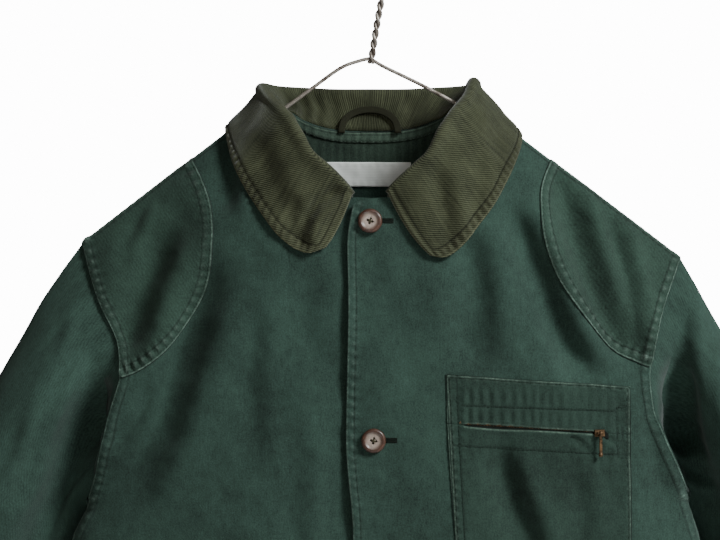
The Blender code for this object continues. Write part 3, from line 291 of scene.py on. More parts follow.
def at_run(at, run, points):
    """Points of a line at other distances; run gives those of its own points."""
    return np.stack([np.interp(at, run, column) for column in points.T], axis=-1)


def evenly(points, shares):
    """Points of a line at shares of its length."""
    run = run_length(points)
    return at_run(shares * run[-1], run, points)


def resample(points, spacing):
    """The same line with points at an even spacing."""
    points = np.asarray(points, float)
    run = run_length(points)
    count = max(int(round(run[-1] / spacing)), 1) + 1
    return at_run(np.linspace(0, run[-1], count), run, points)


def bezier(p0, p1, p2, p3, t):
    return (1 - t) ** 3 * p0 + 3 * (1 - t) ** 2 * t * p1 + 3 * (1 - t) * t**2 * p2 + t**3 * p3


def curve_through(knots, per_span=4):
    """A Catmull-Rom curve through knots, open."""
    knots = np.array(knots, float)
    ends = np.vstack([2 * knots[0] - knots[1], knots, 2 * knots[-1] - knots[-2]])
    points = []
    for p0, p1, p2, p3 in zip(ends, ends[1:], ends[2:], ends[3:]):
        for t in np.arange(per_span) / per_span:
            points.append(0.5 * (2 * p1 + (p2 - p0) * t + (2 * p0 - 5 * p1 + 4 * p2 - p3) * t**2
                                 + (3 * p1 - p0 - 3 * p2 + p3) * t**3))
    return np.array(points + [knots[-1]])


def ripple(run, pitch, stray, period):
    """A wave along a seam whose pitch strays a little."""
    return np.sin(2 * pi * run / pitch + stray * np.sin(run / period))


def uneven(x, z, size, seed):
    """A smooth irregular field of about that size, from -1 to 1."""
    draw = np.random.default_rng(seed)
    total = np.zeros(np.shape(x))
    for _ in range(6):
        heading, phase = draw.uniform(0, 2 * pi, 2)
        wave = 2 * pi / (size * draw.uniform(0.75, 1.5))
        total = total + np.sin(wave * (x * cos(heading) + z * sin(heading)) + phase)
    return np.clip(total / 3.2, -1, 1)


# ---------------------------------------------------------------- the body's form, as in CAD
def shoulder_slope(side):
    x, z = SHOULDER[side]
    return (NECK_Z - z) / (x - NECK_X)


def seam_height(x):
    outward = np.abs(x)
    slope = np.where(np.asarray(x) < 0, shoulder_slope(RIGHT), shoulder_slope(LEFT))
    crown_slope = (shoulder_slope(RIGHT) + shoulder_slope(LEFT)) / 2
    crown = NECK_Z + crown_slope * NECK_X / 2 * (1 - (outward / NECK_X) ** 2)
    return np.where(outward > NECK_X, NECK_Z - slope * (outward - NECK_X), crown)


def form_depth(x, z, face, lift=0.0):
    drop = np.maximum(seam_height(x) + 1.4 * lift - z, 0)
    rounding = (1 - np.exp(-drop / SHOULDER_ROUND)) ** 0.8
    right, left = [smooth_through(z, HALF_WIDTHS[side], "half_width") for side in SIDES]
    share = np.minimum(np.abs(x) / (np.where(np.asarray(x) < 0, right, left) + lift), 1)
    section = (1 - share**SECTION_POWER) ** (1 / SECTION_POWER)
    full = smooth_through(z, DEPTHS, "front" if face == FRONT else "back")
    return (full + lift) * rounding * section


def path_distance(x, z, path):
    """Distance from a path in the front view, and the distance run along it."""
    near = np.full(np.shape(x), 1e9)
    along = np.zeros(np.shape(x))
    aside = np.zeros(np.shape(x))
    run = 0.0
    for (x0, z0), (x1, z1) in zip(path, path[1:]):
        length = np.hypot(x1 - x0, z1 - z0)
        ux, uz = (x1 - x0) / length, (z1 - z0) / length
        t = np.clip((x - x0) * ux + (z - z0) * uz, 0, length)
        px, pz = x - x0 - t * ux, z - z0 - t * uz
        far = np.hypot(px, pz)
        closer = far < near
        near = np.where(closer, far, near)
        along = np.where(closer, run + t, along)
        aside = np.where(closer, ux * pz - uz * px, aside)
        run += length
    return near, along, np.sign(aside)


def fold_depth(x, z, folds):
    total = np.zeros(np.shape(x))
    for fold in folds:
        near, _, _ = path_distance(x, z, fold.path)
        total = total + fold.depth * hump(near, fold.width)
    return total


def front_neckline(turn):
    angle = np.radians(turn)
    start_x, start_z = COLLAR_START
    return (start_x + (NECK_X - start_x) * np.sin(angle) ** 1.15,
            start_z + (NECK_Z - start_z) * (1 - np.cos(angle)) ** 0.95)


def back_neckline(outward):
    return BACK_NECK_Z + (NECK_Z - BACK_NECK_Z) * (outward / NECK_X) ** 3


def side_x(side, z, face):
    value = "front_x" if face == FRONT else "back_x"
    armhole = smooth_through(z, ARMHOLES[side], value)
    seam = smooth_through(z, HALF_WIDTHS[side], "half_width")
    return np.where(z >= UNDERARM[side][1] - 1e-6, armhole, seam)


def front_y(side, x, z):
    depth = form_depth(x, z, FRONT)
    y = -depth + np.minimum(depth / 20, 1) * fold_depth(x, z, FRONT_FOLDS)
    if side == RIGHT:
        start, full, sink = UNDERLAP
        y = y + sink * eased((start - side * x) / (start - full))
    return y


def back_y(x, z):
    depth = form_depth(x, z, BACK)
    return depth - np.minimum(depth / 20, 1) * fold_depth(x, z, BACK_FOLDS)


def with_normals(height, x, z, face):
    points = np.stack([x, height(x, z), z], axis=-1)
    slope_x = (height(x + 1, z) - height(x - 1, z)) / 2
    slope_z = (height(x, z + 1) - height(x, z - 1)) / 2
    normals = -face * np.stack([slope_x, np.full(x.shape, -1.0), slope_z], axis=-1)
    return points, unit(normals)


# ---------------------------------------------------------------- creases and sewn lines
# A crease is a finer fold of the scene's own, steeper on one flank (lean from -1 to 1).
CREASE = "width depth lean path"
FRONT_CREASES = table(
    CREASE,
    (17, 10.5, 0.35, [(-174, -256), (-184, -285), (-197, -315), (-210, -355), (-216, -396)]),
    (7, 2.6, 0.3, [(-196, -238), (-212, -276), (-220, -312)]),
    (19, 12.5, 0.6, [(-137, -272), (-150, -325), (-159, -361), (-172, -397), (-184, -439),
                     (-206, -476), (-248, -506)]),
    (9, 4.0, 0.3, [(-190, -396), (-203, -430), (-228, -462)]),
    (10, 3.2, 0.3, [(-96, -330), (-104, -400), (-98, -470)]),
    (10, 6.0, 0.4, [(-118, -176), (-122, -216), (-128, -262)]),
    (17, 4.6, 0.4, [(-52, -286), (-56, -340), (-50, -410)]),
    (11, 2.8, 0.3, [(-60, -420), (-66, -520), (-58, -620)]),
    (12, 11.5, 0.55, [(156, -196), (170, -234), (178, -261), (188, -295), (201, -330),
                      (216, -366), (232, -404)]),
    (9, 7.0, 0.4, [(200, -240), (214, -275), (223, -318), (232, -366), (238, -404)]),
    (12, 10.0, 0.55, [(118, -236), (131, -270), (141, -295), (151, -321), (163, -354),
                      (196, -404)]),
    (15, 6.0, 0.4, [(78, -252), (86, -288), (89, -330), (85, -394)]),
    (12, 7.5, 0.5, [(106, -446), (114, -474), (124, -505), (137, -532), (146, -584)]),
    (9, 2.6, 0.3, [(176, -470), (182, -520), (178, -560)]),
    (9, 4.0, 0.4, [(250, -398), (240, -440), (252, -486), (264, -524)]),
    (10, 2.4, 0.4, [(120, -610), (112, -720), (120, -830)]),
    (10, 2.2, 0.4, [(218, -600), (226, -700), (216, -820)]),
    (10, 2.4, 0.3, [(-150, -540), (-162, -660), (-154, -800)]),
    (9, 2.0, 0.3, [(-226, -540), (-232, -640), (-222, -760)]),
    (12, 2.2, 0.2, [(46, -560), (52, -680), (44, -840)])
)
BACK_CREASES = table(
    CREASE,
    (10, 3.4, 0.4, [(-212, -320), (-176, -400), (-160, -480)]),
    (7, 1.8, 0.4, [(-224, -370), (-196, -440), (-186, -500)]),
    (10, 3.4, -0.4, [(226, -330), (184, -410), (168, -500)]),
    (7, 1.8, -0.4, [(238, -380), (208, -450), (196, -520)]),
    (12, 2.2, 0.3, [(-40, -240), (-60, -340), (-52, -460)]),
    (12, 2.2, -0.3, [(52, -250), (70, -350), (60, -440)]),
    (11, 2.6, 0.3, [(-150, -560), (-166, -700), (-150, -860)]),
    (11, 2.6, -0.3, [(160, -560), (150, -720), (164, -870)]),
    (12, 2.2, 0.3, [(30, -600), (40, -740), (26, -880)]),
    (9, 1.8, 0.4, [(-240, -560), (-232, -640), (-244, -740)])
)
SLEEVE_CREASES = table(
    CREASE,
    (10, 10.0, 0.0, [(-212, -330), (-226, -378), (-238, -418), (-250, -455), (-262, -495),
                     (-280, -548)]),
    (20, 19.0, 0.0, [(-228, -392), (-246, -440), (-256, -484), (-272, -527), (-296, -590)]),
    (9, -3.6, 0.0, [(-247, -300), (-262, -355), (-286, -405), (-312, -468)]),
    (7, -3.0, 0.0, [(-238, -340), (-262, -405), (-278, -447), (-296, -500)]),
    (7, 2.6, 0.3, [(-262, -322), (-276, -380), (-300, -430), (-324, -486)]),
    (8, 2.6, 0.5, [(-276, -440), (-300, -490), (-336, -530), (-372, -548)]),
    (8, 2.4, -0.4, [(-330, -560), (-372, -600), (-412, -620)]),
    (9, 2.6, 0.3, [(-350, -640), (-400, -668), (-450, -676)]),
    (9, 2.4, 0.4, [(-384, -720), (-430, -752), (-476, -756)]),
    (8, 2.0, -0.3, [(-420, -790), (-460, -812), (-498, -808)]),
    (9, 11.0, 0.3, [(282, -296), (276, -330), (271, -365), (270, -400), (273, -440), (284, -500)]),
    (20, 18.0, 0.2, [(270, -345), (270, -400), (272, -430), (279, -470), (291, -511),
                     (312, -580)]),
    (6, -6.5, 0.2, [(254, -430), (266, -460), (290, -480)]),
    (5, -5.5, 0.2, [(264, -472), (276, -491), (298, -504)]),
    (9, -3.6, 0.0, [(300, -336), (302, -400), (314, -452), (334, -510)]),
    (7, 2.4, 0.4, [(310, -352), (334, -412), (358, -480)]),
    (8, 2.4, -0.5, [(310, -470), (330, -500), (356, -524), (394, -548)]),
    (8, 2.4, 0.4, [(344, -590), (388, -622), (432, -640)]),
    (9, 2.6, -0.3, [(368, -670), (416, -700), (466, -706)]),
    (9, 2.4, -0.4, [(402, -748), (448, -778), (494, -782)]),
    (8, 2.0, 0.3, [(436, -816), (474, -834), (514, -830)])
)
POCKET_CREASES = table(
    CREASE,
    (3, 1.4, 0.3, [(168, -443), (182, -452), (190, -462)]),
    (3, 1.4, -0.3, [(196, -440), (208, -450), (220, -456)])
)
FALL_CREASES = table(
    CREASE,
    (6, 7.0, 0.3, [(-16, -226), (-30, -236), (-44, -245), (-54, -256), (-59, -272), (-56, -292)]),
    (6, 3.6, 0.3, [(-60, -236), (-68, -256), (-67, -284)]),
    (12, 4.6, 0.3, [(-104, -180), (-92, -208), (-80, -240), (-72, -268)]),
    (9, 5.0, 0.3, [(54, -206), (60, -236), (66, -262), (70, -294)]),
    (8, 3.0, 0.3, [(92, -190), (94, -230), (86, -276)]),
    (10, 3.6, 0.3, [(112, -160), (110, -196), (106, -236)])
)
STAND_CREASES = table(
    CREASE,
    (4, 2.2, 0.3, [(-76, -144), (-71, -162), (-77, -180)]),
    (4, 2.4, 0.3, [(-64, -142), (-57, -160), (-61, -182)]),
    (4, 2.0, 0.3, [(-51, -141), (-45, -160), (-49, -184)]),
    (5, 1.6, 0.3, [(-36, -141), (-31, -162), (-34, -186)]),
    (6, 1.6, -0.3, [(30, -141), (36, -162), (32, -186)]),
    (5, 2.0, -0.3, [(66, -141), (60, -160), (66, -182)])
)


def crease_relief(x, z, creases):
    """Height that the creases add: uneven troughs with a low lip on their steep flank."""
    total = np.zeros(np.shape(x))
    for number, crease in enumerate(creases):
        near, along, flank = path_distance(x, z, crease.path)
        run = sum(np.hypot(x1 - x0, z1 - z0)
                  for (x0, z0), (x1, z1) in zip(crease.path, crease.path[1:]))
        ends = eased(along / (0.25 * run)) * eased((run - along) / (0.25 * run))
        waver = 0.92 + 0.14 * np.sin(along / 31 + 2.1 * number)
        width = crease.width * (1 - 0.45 * crease.lean * flank)
        lip = 0.45 * hump(near - 1.7 * crease.width, 0.8 * crease.width) * (crease.lean * flank > 0)
        total = total + crease.depth * ends * waver * (lip - hump(near, width))
    return total


class SewnLine:
    """A sewn edge in the front view, which raises and puckers the cloth beside it.

    rows are the stitch lines' distances from the edge, band is how wide the raised edge is,
    and rolled is how far its rim turns down; a row in the open cloth is not an edge.
    """

    def __init__(self, path, rows, band, height, pucker, seed, rolled=0.5, is_edge=True):
        self.path = resample(path, 5)
        self.rows, self.band, self.height = rows, band, height
        self.pucker, self.seed, self.rolled, self.is_edge = pucker, seed, rolled, is_edge

    def wave(self, along):
        """From -1 to 1, with pucker crests of uneven length and strength."""
        phase = 2 * pi * along / PUCKER + 1.1 * np.sin(along / 23 + self.seed)
        phase = phase + 0.7 * np.sin(along / 9.1 + 2 * self.seed)
        strength = 0.66 + 0.34 * np.sin(along / 41 + 3 * self.seed)
        return np.sin(phase) * strength

    def relief(self, distance, along):
        raised = self.height * (1 - eased((distance - self.band + 1.5) / 3))
        near = hump(distance - 0.6 * self.band, 0.5 * self.band)
        puckers = self.pucker * self.wave(along) * near
        sunk = sum(0.4 * hump(distance - row, 1.1) for row in self.rows)
        return raised + puckers - sunk - self.rolled * hump(distance, 0.9)

    def offset(self, distance):
        """The path moved sideways, to the left of its run when distance is positive."""
        along = unit(np.gradient(self.path, axis=0))
        aside = np.stack([-along[:, 1], along[:, 0]], axis=1)
        return self.path + aside * distance


def sewn(x, z, lines):
    """Relief beside sewn edges, and marks for the finish: the distance from the nearest edge
    and from the nearest stitch row, and how far a pucker stands up."""
    relief = np.zeros(np.shape(x))
    edge, row, crest = relief + FAR, relief + FAR, relief
    for line in lines:
        distance, along, _ = path_distance(x, z, line.path)
        relief = relief + line.relief(distance, along)
        row = np.minimum(row, np.abs(distance - line.rows[-1]))
        if line.is_edge:
            crest = crest + (0.5 + 0.5 * line.wave(along)) * hump(distance - 0.68 * line.band,
                                                                  0.34 * line.band)
            edge = np.minimum(distance, edge)
    return relief, {"edge": edge, "row": row, "crest": crest}


def drawn(sign, rows, column, low, high, count=60):
    """A line in the front view through one column of a table."""
    z = np.linspace(low, high, count)
    return np.stack([sign * smooth_through(z, rows, column), z], axis=1)


def armhole_path(side, face):
    return drawn(side, ARMHOLES[side], "front_x" if face == FRONT else "back_x",
                 UNDERARM[side][1], SHOULDER[side][1])


def side_path(side):
    return drawn(side, HALF_WIDTHS[side], "half_width", HEM_Z, UNDERARM[side][1])


def hem_path(side, inner):
    outer = side * float(smooth_through(HEM_Z, HALF_WIDTHS[side], "half_width"))
    return np.array([(inner, HEM_Z), (outer, HEM_Z)])


def patch_path(side):
    return curve_through([(side * x, z) for x, z in PATCH_EDGES[side]], 4)


def shoulder_path(side):
    x = np.linspace(NECK_X, SHOULDER[side][0], 30)
    return np.stack([side * x, seam_height(side * x)], axis=1)


ARMHOLE_ROWS = (2.2, 8.6)
HEM_BAND = 22  # from the hem or cuff to its stitch row
LAP_DROP = {RIGHT: 1, LEFT: 4}  # how far below the collar's start the fronts' laps begin
FRONT_LINES = {
    side: {
        "armhole": SewnLine(armhole_path(side, FRONT), ARMHOLE_ROWS, 9.5, 1.0, 0.95,
                            1.3 * side, 0.9),
        "side": SewnLine(side_path(side), ARMHOLE_ROWS, 9.5, 0.5, 0.4, 2.2 * side),
        "hem": SewnLine(hem_path(side, -15 if side == LEFT else 17), (HEM_BAND,), 23, 0.5, 0.35,
                        4.1),
        "shoulder": SewnLine(shoulder_path(side), (3.4,), 4.2, 0.7, 0.3, 0.9 * side),
    }
    for side in SIDES
}
PLACKET = SewnLine(drawn(1, PLACKET_EDGE, "x", HEM_Z, COLLAR_START[1] - LAP_DROP[LEFT], 80),
                   (7.5,), 9, 0.5, 1.0, 0.7, 0.9)
FRONT_LINES[LEFT]["placket"] = PLACKET
BACK_LINES = {
    RIGHT: SewnLine(armhole_path(RIGHT, BACK), ARMHOLE_ROWS, 9.5, 0.9, 0.5, 5.1),
    LEFT: SewnLine(armhole_path(LEFT, BACK), ARMHOLE_ROWS, 9.5, 0.9, 0.5, 6.3),
    "hem": SewnLine(np.array([(-267, HEM_Z), (295, HEM_Z)]), (HEM_BAND,), 23, 0.5, 0.35, 7.7),
}
PATCH_LIFT, PATCH_INSET = SEAM + PATCH, 1.0
LAID = 0.2  # how much lower a laid piece's outer face lies than its lift
PATCH_LINES = {side: SewnLine(patch_path(side), (2.2, 9), 10.5, 0.5, 1.15, 3.4 * side, 0.75)
               for side in SIDES}


def slow_relief(x, z, face, creases, seed):
    """The slow unevenness of worn cloth with its creases, fading out to the panel's seams."""
    slow = 1.0 * uneven(x, z, 85, seed) + 0.5 * uneven(x, z, 33, seed + 1)
    slow = slow + 0.14 * uneven(x, z, 11, seed + 2)
    return eased(form_depth(x, z, face) / 14) * (slow + crease_relief(x, z, creases))


def skin(height, creases, seed, face, x, z, lift, lines):
    """Points on a panel's outer face with the slow relief, their normals, the sewn relief
    with the lift, and the marks of the finish."""
    x, z = np.asarray(x, float), np.asarray(z, float)
    points, normals = with_normals(height, x, z, face)
    slow = slow_relief(x, z, face, creases, seed)
    relief, marks = sewn(x, z, lines)
    return points + normals * slow[..., None], normals, relief + lift, marks


FRONT_SEED, BACK_SEED = {RIGHT: 11, LEFT: 14}, 21


def front_skin(side, x, z, lift=0.0, lines=()):
    return skin(lambda a, b: front_y(side, a, b), FRONT_CREASES, FRONT_SEED[side], FRONT,
                x, z, lift, lines)


def back_skin(x, z, lift=0.0, lines=()):
    return skin(back_y, BACK_CREASES, BACK_SEED, BACK, x, z, lift, lines)


def left_point(x, z, lines=()):
    """One point of the left front: the point, its normal and the sewn relief."""
    (point,), (normal,), (relief,), _ = front_skin(LEFT, [x], [z], 0, lines)
    return point, normal, float(relief)


# ---------------------------------------------------------------- meshes
def placed(name, data):
    """A new object in the scene."""
    added = bpy.data.objects.new(name, data)
    bpy.context.scene.collection.objects.link(added)
    return added


def add_mesh(name, points, faces, finish, uv=None, attributes=None, smooth=True):
    """A mesh object from points in millimetres, its faces turned to look outwards."""
    points, faces = np.asarray(points, float), np.asarray(faces)
    corners = points[faces]
    if np.einsum("ij,ij->", corners[:, 0], np.cross(corners[:, 1], corners[:, 2])) < 0:
        faces = faces[:, ::-1]
    mesh = bpy.data.meshes.new(name)
    mesh.vertices.add(len(points))
    mesh.vertices.foreach_set("co", (points * MM).ravel())
    mesh.loops.add(faces.size)
    mesh.loops.foreach_set("vertex_index", faces.ravel().astype(np.int32))
    mesh.polygons.add(len(faces))
    mesh.polygons.foreach_set("loop_start", np.arange(0, faces.size, 3, dtype=np.int32))
    mesh.update(calc_edges=True)
    if uv is not None:
        layer = mesh.uv_layers.new(name="cloth")
        layer.data.foreach_set("uv", (np.asarray(uv) * MM)[faces.ravel()].ravel())
    for key, values in (attributes or {}).items():
        mesh.attributes.new(key, "FLOAT", "POINT").data.foreach_set(
            "value", np.asarray(values, np.float32).ravel())
    mesh.materials.append(finish)
    if smooth:
        mesh.shade_smooth()
    return placed(name, mesh)


def grid_faces(rows, columns, offset=0, wrap_rows=False):
    i = np.arange(rows if wrap_rows else rows - 1)[:, None]
    j = np.arange(columns - 1)[None, :]
    a = offset + i * columns + j
    b = offset + ((i + 1) % rows) * columns + j
    first = np.stack([a, b, b + 1], axis=-1).reshape(-1, 3)
    second = np.stack([a, b + 1, a + 1], axis=-1).reshape(-1, 3)
    return np.concatenate([first, second])


def zip_rims(outer, inner, step):
    """Faces between a fine rim and one with every step-th point."""
    faces = []
    for i in range(len(outer) - 1):
        a, b = i // step, (i + 1) // step
        faces.append((outer[i + 1], outer[i], inner[a]))
        if a != b:
            faces.append((outer[i + 1], inner[a], inner[b]))
    return faces


INNER_STEP = 3  # the inner face of a cloth piece has every third row and column


def coarse(values):
    return values[::INNER_STEP, ::INNER_STEP]


def cloth(name, middle, normals, relief, wall, finish, uv, attributes, closed=False):
    """A wall of cloth: a fine outer face and a coarser inner one, joined at the rims."""
    rows, columns = middle.shape[:2]
    outer = middle + normals * relief[..., None]
    inner = coarse(middle - normals * wall)
    few, small = inner.shape[:2]
    count = rows * columns
    faces = [grid_faces(rows, columns, 0, closed),
             grid_faces(few, small, count, closed)[:, ::-1]]
    fine = np.arange(count).reshape(rows, columns)
    rough = count + np.arange(few * small).reshape(few, small)
    if closed:
        rims = [(np.append(fine[:, 0], fine[0, 0]), np.append(rough[:, 0], rough[0, 0])),
                (np.append(fine[:, -1], fine[0, -1])[::-1],
                 np.append(rough[:, -1], rough[0, -1])[::-1])]
    else:
        def loop(n):
            return np.concatenate([n[:-1, 0], n[-1, :-1], n[:0:-1, -1], n[0, ::-1]])
        rims = [(loop(fine), loop(rough))]
    for a, b in rims:
        faces.append(np.array(zip_rims(a, b, INNER_STEP)))
    points = np.concatenate([outer.reshape(-1, 3), inner.reshape(-1, 3)])

    def everywhere(value):
        value = np.broadcast_to(value, (rows, columns))
        return np.concatenate([value.ravel(), coarse(value).ravel()])

    flat = np.stack([everywhere(part) for part in uv], axis=-1)
    values = {key: everywhere(value) for key, value in attributes.items()}
    return add_mesh(name, points, np.concatenate(faces), finish, flat, values)


# One stitch is rings at shares of its length with shares of the thread's radius.
STITCH_RINGS = [(-0.5, 0.35), (-0.32, 1.0), (0.32, 1.0), (0.5, 0.35)]
STITCH_SIDES = 5
STITCH_SUNK = 0.6  # how much of the thread's radius lies in the cloth


def lozenge_faces(rings, sides):
    """Faces round a slim closed solid whose rings of points follow each other."""
    faces = []
    for i in range(rings - 1):
        for k in range(sides):
            p, q = i * sides + k, i * sides + (k + 1) % sides
            faces += [(p, q, q + sides), (p, q + sides, p + sides)]
    last = (rings - 1) * sides
    for k in range(1, sides - 1):
        faces += [(0, k + 1, k), (last, last + k, last + k + 1)]
    return faces


def stitches(name, rows, finish):
    """Thread along rows of (points, normals): a slim lozenge for each stitch, half sunk."""
    parts, faces = [], lozenge_faces(len(STITCH_RINGS), STITCH_SIDES)
    for line, normals in rows:
        run = run_length(line)
        for start in np.arange(STITCH_GAP, run[-1] - STITCH, STITCH + STITCH_GAP):
            at = np.array([start, start + STITCH])
            ends = at_run(at, run, line)
            up = unit(at_run(at.mean(), run, normals))
            across = np.cross(unit(ends[1] - ends[0]), up)
            points = []
            for share, size in STITCH_RINGS:
                centre = (ends.mean(axis=0) + (ends[1] - ends[0]) * share
                          + up * THREAD * (size - STITCH_SUNK))
                for a, b in circle(1, STITCH_SIDES):
                    points.append(centre + THREAD * size * (a * across + b * up))
            parts.append((points, faces))
    return add_mesh(name, *join(parts), finish)


def sweep(path, outline):
    """Points and faces of a solid swept along a path; outline is a list or a function."""
    path = np.asarray(path, float)
    along = unit(np.gradient(path, axis=0))
    level = (0, 1, 0) if abs(along[0][1]) < 0.9 else (1, 0, 0)
    across = unit(np.cross(along[0], level))
    points = []
    for i, (point, direction) in enumerate(zip(path, along)):
        across = unit(across - direction * np.dot(across, direction))
        third = np.cross(direction, across)
        section = outline(i) if callable(outline) else outline
        points += [point + a * across + b * third for a, b in section]
    count, sides = len(path), len(section)
    numbers = np.arange(count * sides).reshape(count, sides)
    faces = []
    for i in range(count - 1):
        for k in range(sides):
            n = (k + 1) % sides
            faces += [(numbers[i, k], numbers[i, n], numbers[i + 1, n]),
                      (numbers[i, k], numbers[i + 1, n], numbers[i + 1, k])]
    first, last = len(points), len(points) + 1
    points += [path[0], path[-1]]
    for k in range(sides):
        n = (k + 1) % sides
        faces.append((first, numbers[0, n], numbers[0, k]))
        faces.append((last, numbers[-1, k], numbers[-1, n]))
    return np.array(points), faces


def circle(radius, sides):
    angles = np.arange(sides) * 2 * pi / sides
    return [(radius * cos(a), radius * sin(a)) for a in angles]


def join(parts):
    """Several (points, faces) as one."""
    points, faces, count = [], [], 0
    for some, some_faces in parts:
        points.append(np.asarray(some, float))
        faces.append(np.asarray(some_faces) + count)
        count += len(some)
    return np.concatenate(points), np.concatenate(faces)


# ---------------------------------------------------------------- materials
class Graph:
    """A short way to write a material's nodes."""

    def __init__(self, name):
        self.made = bpy.data.materials.new(name)
        self.made.use_nodes = True
        self.tree = self.made.node_tree
        self.shader = self.tree.nodes["Principled BSDF"]

    def node(self, kind, settings=None, **inputs):
        node = self.tree.nodes.new("ShaderNode" + kind)
        for key, value in (settings or {}).items():
            setattr(node, key, value)
        for key, value in inputs.items():
            socket = node.inputs[int(key[1:]) if key[0] == "i" and key[1:].isdigit()
                                 else key.replace("_", " ")]
            if isinstance(value, bpy.types.NodeSocket):
                self.tree.links.new(value, socket)
            else:
                socket.default_value = value
        return node

    def math(self, operation, a, b=0.0):
        return self.node("Math", {"operation": operation}, i0=a, i1=b).outputs[0]

    def times(self, a, b):
        return self.math("MULTIPLY", a, b)

    def plus(self, a, b):
        return self.math("ADD", a, b)

    def weighted(self, layers, total=0.0):
        for layer, weight in layers:
            total = self.plus(total, self.times(layer, weight))
        return total

    def mix(self, factor, a, b):
        return self.node("Mix", {"data_type": "RGBA"}, i0=factor, i6=a, i7=b).outputs[2]

    def ramp(self, value, low, high):
        return self.node("MapRange", {"clamp": True}, Value=value, From_Min=low,
                         From_Max=high).outputs[0]

    def noise(self, vector, scale, detail=2.0, rough=0.55):
        return self.node("TexNoise", Vector=vector, Scale=scale, Detail=detail,
                         Roughness=rough).outputs[0]

    def stretched(self, vector, x, y, z=1.0, turn=0.0):
        return self.node("Mapping", None, Vector=vector, Rotation=(0, 0, turn),
                         Scale=(x, y, z)).outputs[0]

    def attribute(self, name):
        return self.node("Attribute", {"attribute_name": name}).outputs["Fac"]

    def uv(self):
        return self.node("UVMap", {"uv_map": "cloth"}).outputs[0]

    def place(self):
        return self.node("TexCoord").outputs["Object"]

    def link(self, value, socket):
        self.tree.links.new(value, self.shader.inputs[socket])

    def bump(self, heights, distance, strength=1.0):
        node = self.node("Bump", None, Height=heights, Distance=distance, Strength=strength)
        self.link(node.outputs[0], "Normal")

    def rim(self, rise, fall):
        """A narrow band just inside a sewn edge."""
        edge = self.attribute("edge")
        return self.times(self.ramp(edge, *rise), self.ramp(edge, *fall))

    def groove(self, width):
        """The line that a stitch row pulls into the cloth: a mask where the colour is darkened as
        painted shade.
        """
        return self.ramp(self.math("ABSOLUTE", self.attribute("row")), width, 0.3)

    def constant(self, **values):
        for key, value in values.items():
            self.shader.inputs[key.replace("_", " ")].default_value = value


def shade(colour, share=1):
    """A share of a colour given as the eye sees it, in 0 to 255, as the shader takes it."""
    def linear(c):
        c = c * share / 255
        return c / 12.92 if c <= 0.04045 else ((c + 0.055) / 1.055) ** 2.4
    return (*map(linear, colour), 1.0)


def canvas_material(name, body, faded, slubs, twill):
    """Washed canvas: mottled dye, slubs along the warp and a diagonal twill by their strength;
    painted shade along its stitch rows and right at its sewn edges, and pale wear beside them."""
    g = Graph(name)
    uv = g.uv()
    heather = g.noise(g.stretched(uv, 1, 0.8), 760, 3, 0.8)
    slub = g.noise(g.stretched(uv, 1, 0.16), 560, 2, 0.7)
    diagonal = g.node("TexWave", {"wave_type": "BANDS", "bands_direction": "X"},
                      Vector=g.stretched(uv, 1, 1, 1, radians(-33)), Scale=118.0,
                      Distortion=3.4, Detail=2.0, Detail_Scale=3.0).outputs[0]
    layers = [(g.noise(g.stretched(uv, 1, 0.7), 14, 4, 0.6), 0.7), (g.noise(uv, 110, 3, 0.6), 0.35),
              (heather, 1.0), (slub, slubs), (diagonal, twill)]
    middle = sum(weight / 2 for _, weight in layers)
    tone = g.ramp(g.weighted(layers), middle - 0.42, middle + 0.42)
    colour = g.mix(tone, shade(body, 0.4), shade(body, 1.56))
    crest = g.attribute("crest")
    broken = g.ramp(g.noise(uv, 480, 3, 0.75), 0.34, 0.7)
    patchy = g.ramp(g.noise(uv, 70, 3, 0.7), 0.36, 0.62)
    dots = g.times(g.times(crest, crest), g.times(broken, 0.9))
    colour = g.mix(dots, colour, shade(faded))
    rim = g.times(g.rim((0.3, 0.8), (2.4, 0.9)), g.plus(g.times(patchy, broken), 0.12))
    colour = g.mix(rim, colour, shade(faded, 1.2))
    # Painted shade: the colour darkens right at the sewn edges and along the stitch rows, where the
    # cloth's shadows fall.
    painted_shade = g.math("MAXIMUM", g.ramp(g.attribute("edge"), 0.75, 0.15), g.times(g.groove(1.3), 0.6))
    colour = g.mix(g.times(painted_shade, 0.7), colour, shade(body, 0.3))
    g.link(colour, "Base Color")
    g.bump(g.weighted([(slub, slubs), (diagonal, twill)], heather), 0.0003, 0.8)
    g.constant(Roughness=0.92, Sheen_Weight=0.08, Sheen_Roughness=0.5, Specular_IOR_Level=0.25)
    return g.made


def corduroy_material(name, body, faded):
    """Pile ribs along the wales; the ridges are worn paler than the grooves."""
    g = Graph(name)
    uv = g.uv()
    fuzz = g.noise(g.stretched(uv, 1, 0.35), 1100, 2, 0.7)
    streak = g.noise(g.stretched(uv, 1, 0.07), 330, 2, 0.65)
    rib = g.math("SINE", g.times(g.attribute("wale"), 2 * pi / WALE))
    rib = g.plus(g.times(rib, 0.5), 0.5)
    layers = [(fuzz, 0.5), (g.noise(uv, 30, 4, 0.65), 0.8), (streak, 0.7)]
    tone = g.ramp(g.weighted(layers, g.times(rib, 0.5)), 0.75, 1.75)
    colour = g.mix(tone, shade(body, 0.22), shade(body, 1.66))
    broken = g.ramp(g.noise(uv, 480, 3, 0.75), 0.3, 0.75)
    wear = g.times(g.attribute("crest"), broken)
    colour = g.mix(g.math("MINIMUM", wear, 0.6), colour, shade(faded))
    rim = g.times(g.rim((0.15, 0.5), (1.6, 0.9)), g.plus(g.times(broken, 0.6), 0.2))
    colour = g.mix(rim, colour, shade(faded, 1.35))
    # Painted shade along the stitch row's groove.
    colour = g.mix(g.times(g.groove(1.1), 0.6), colour, shade(body, 0.3))
    g.link(colour, "Base Color")
    g.bump(g.plus(rib, g.times(g.plus(fuzz, streak), 0.7)), 0.0004, 0.9)
    g.constant(Roughness=0.95, Sheen_Weight=0.22, Sheen_Roughness=0.4, Specular_IOR_Level=0.15)
    return g.made


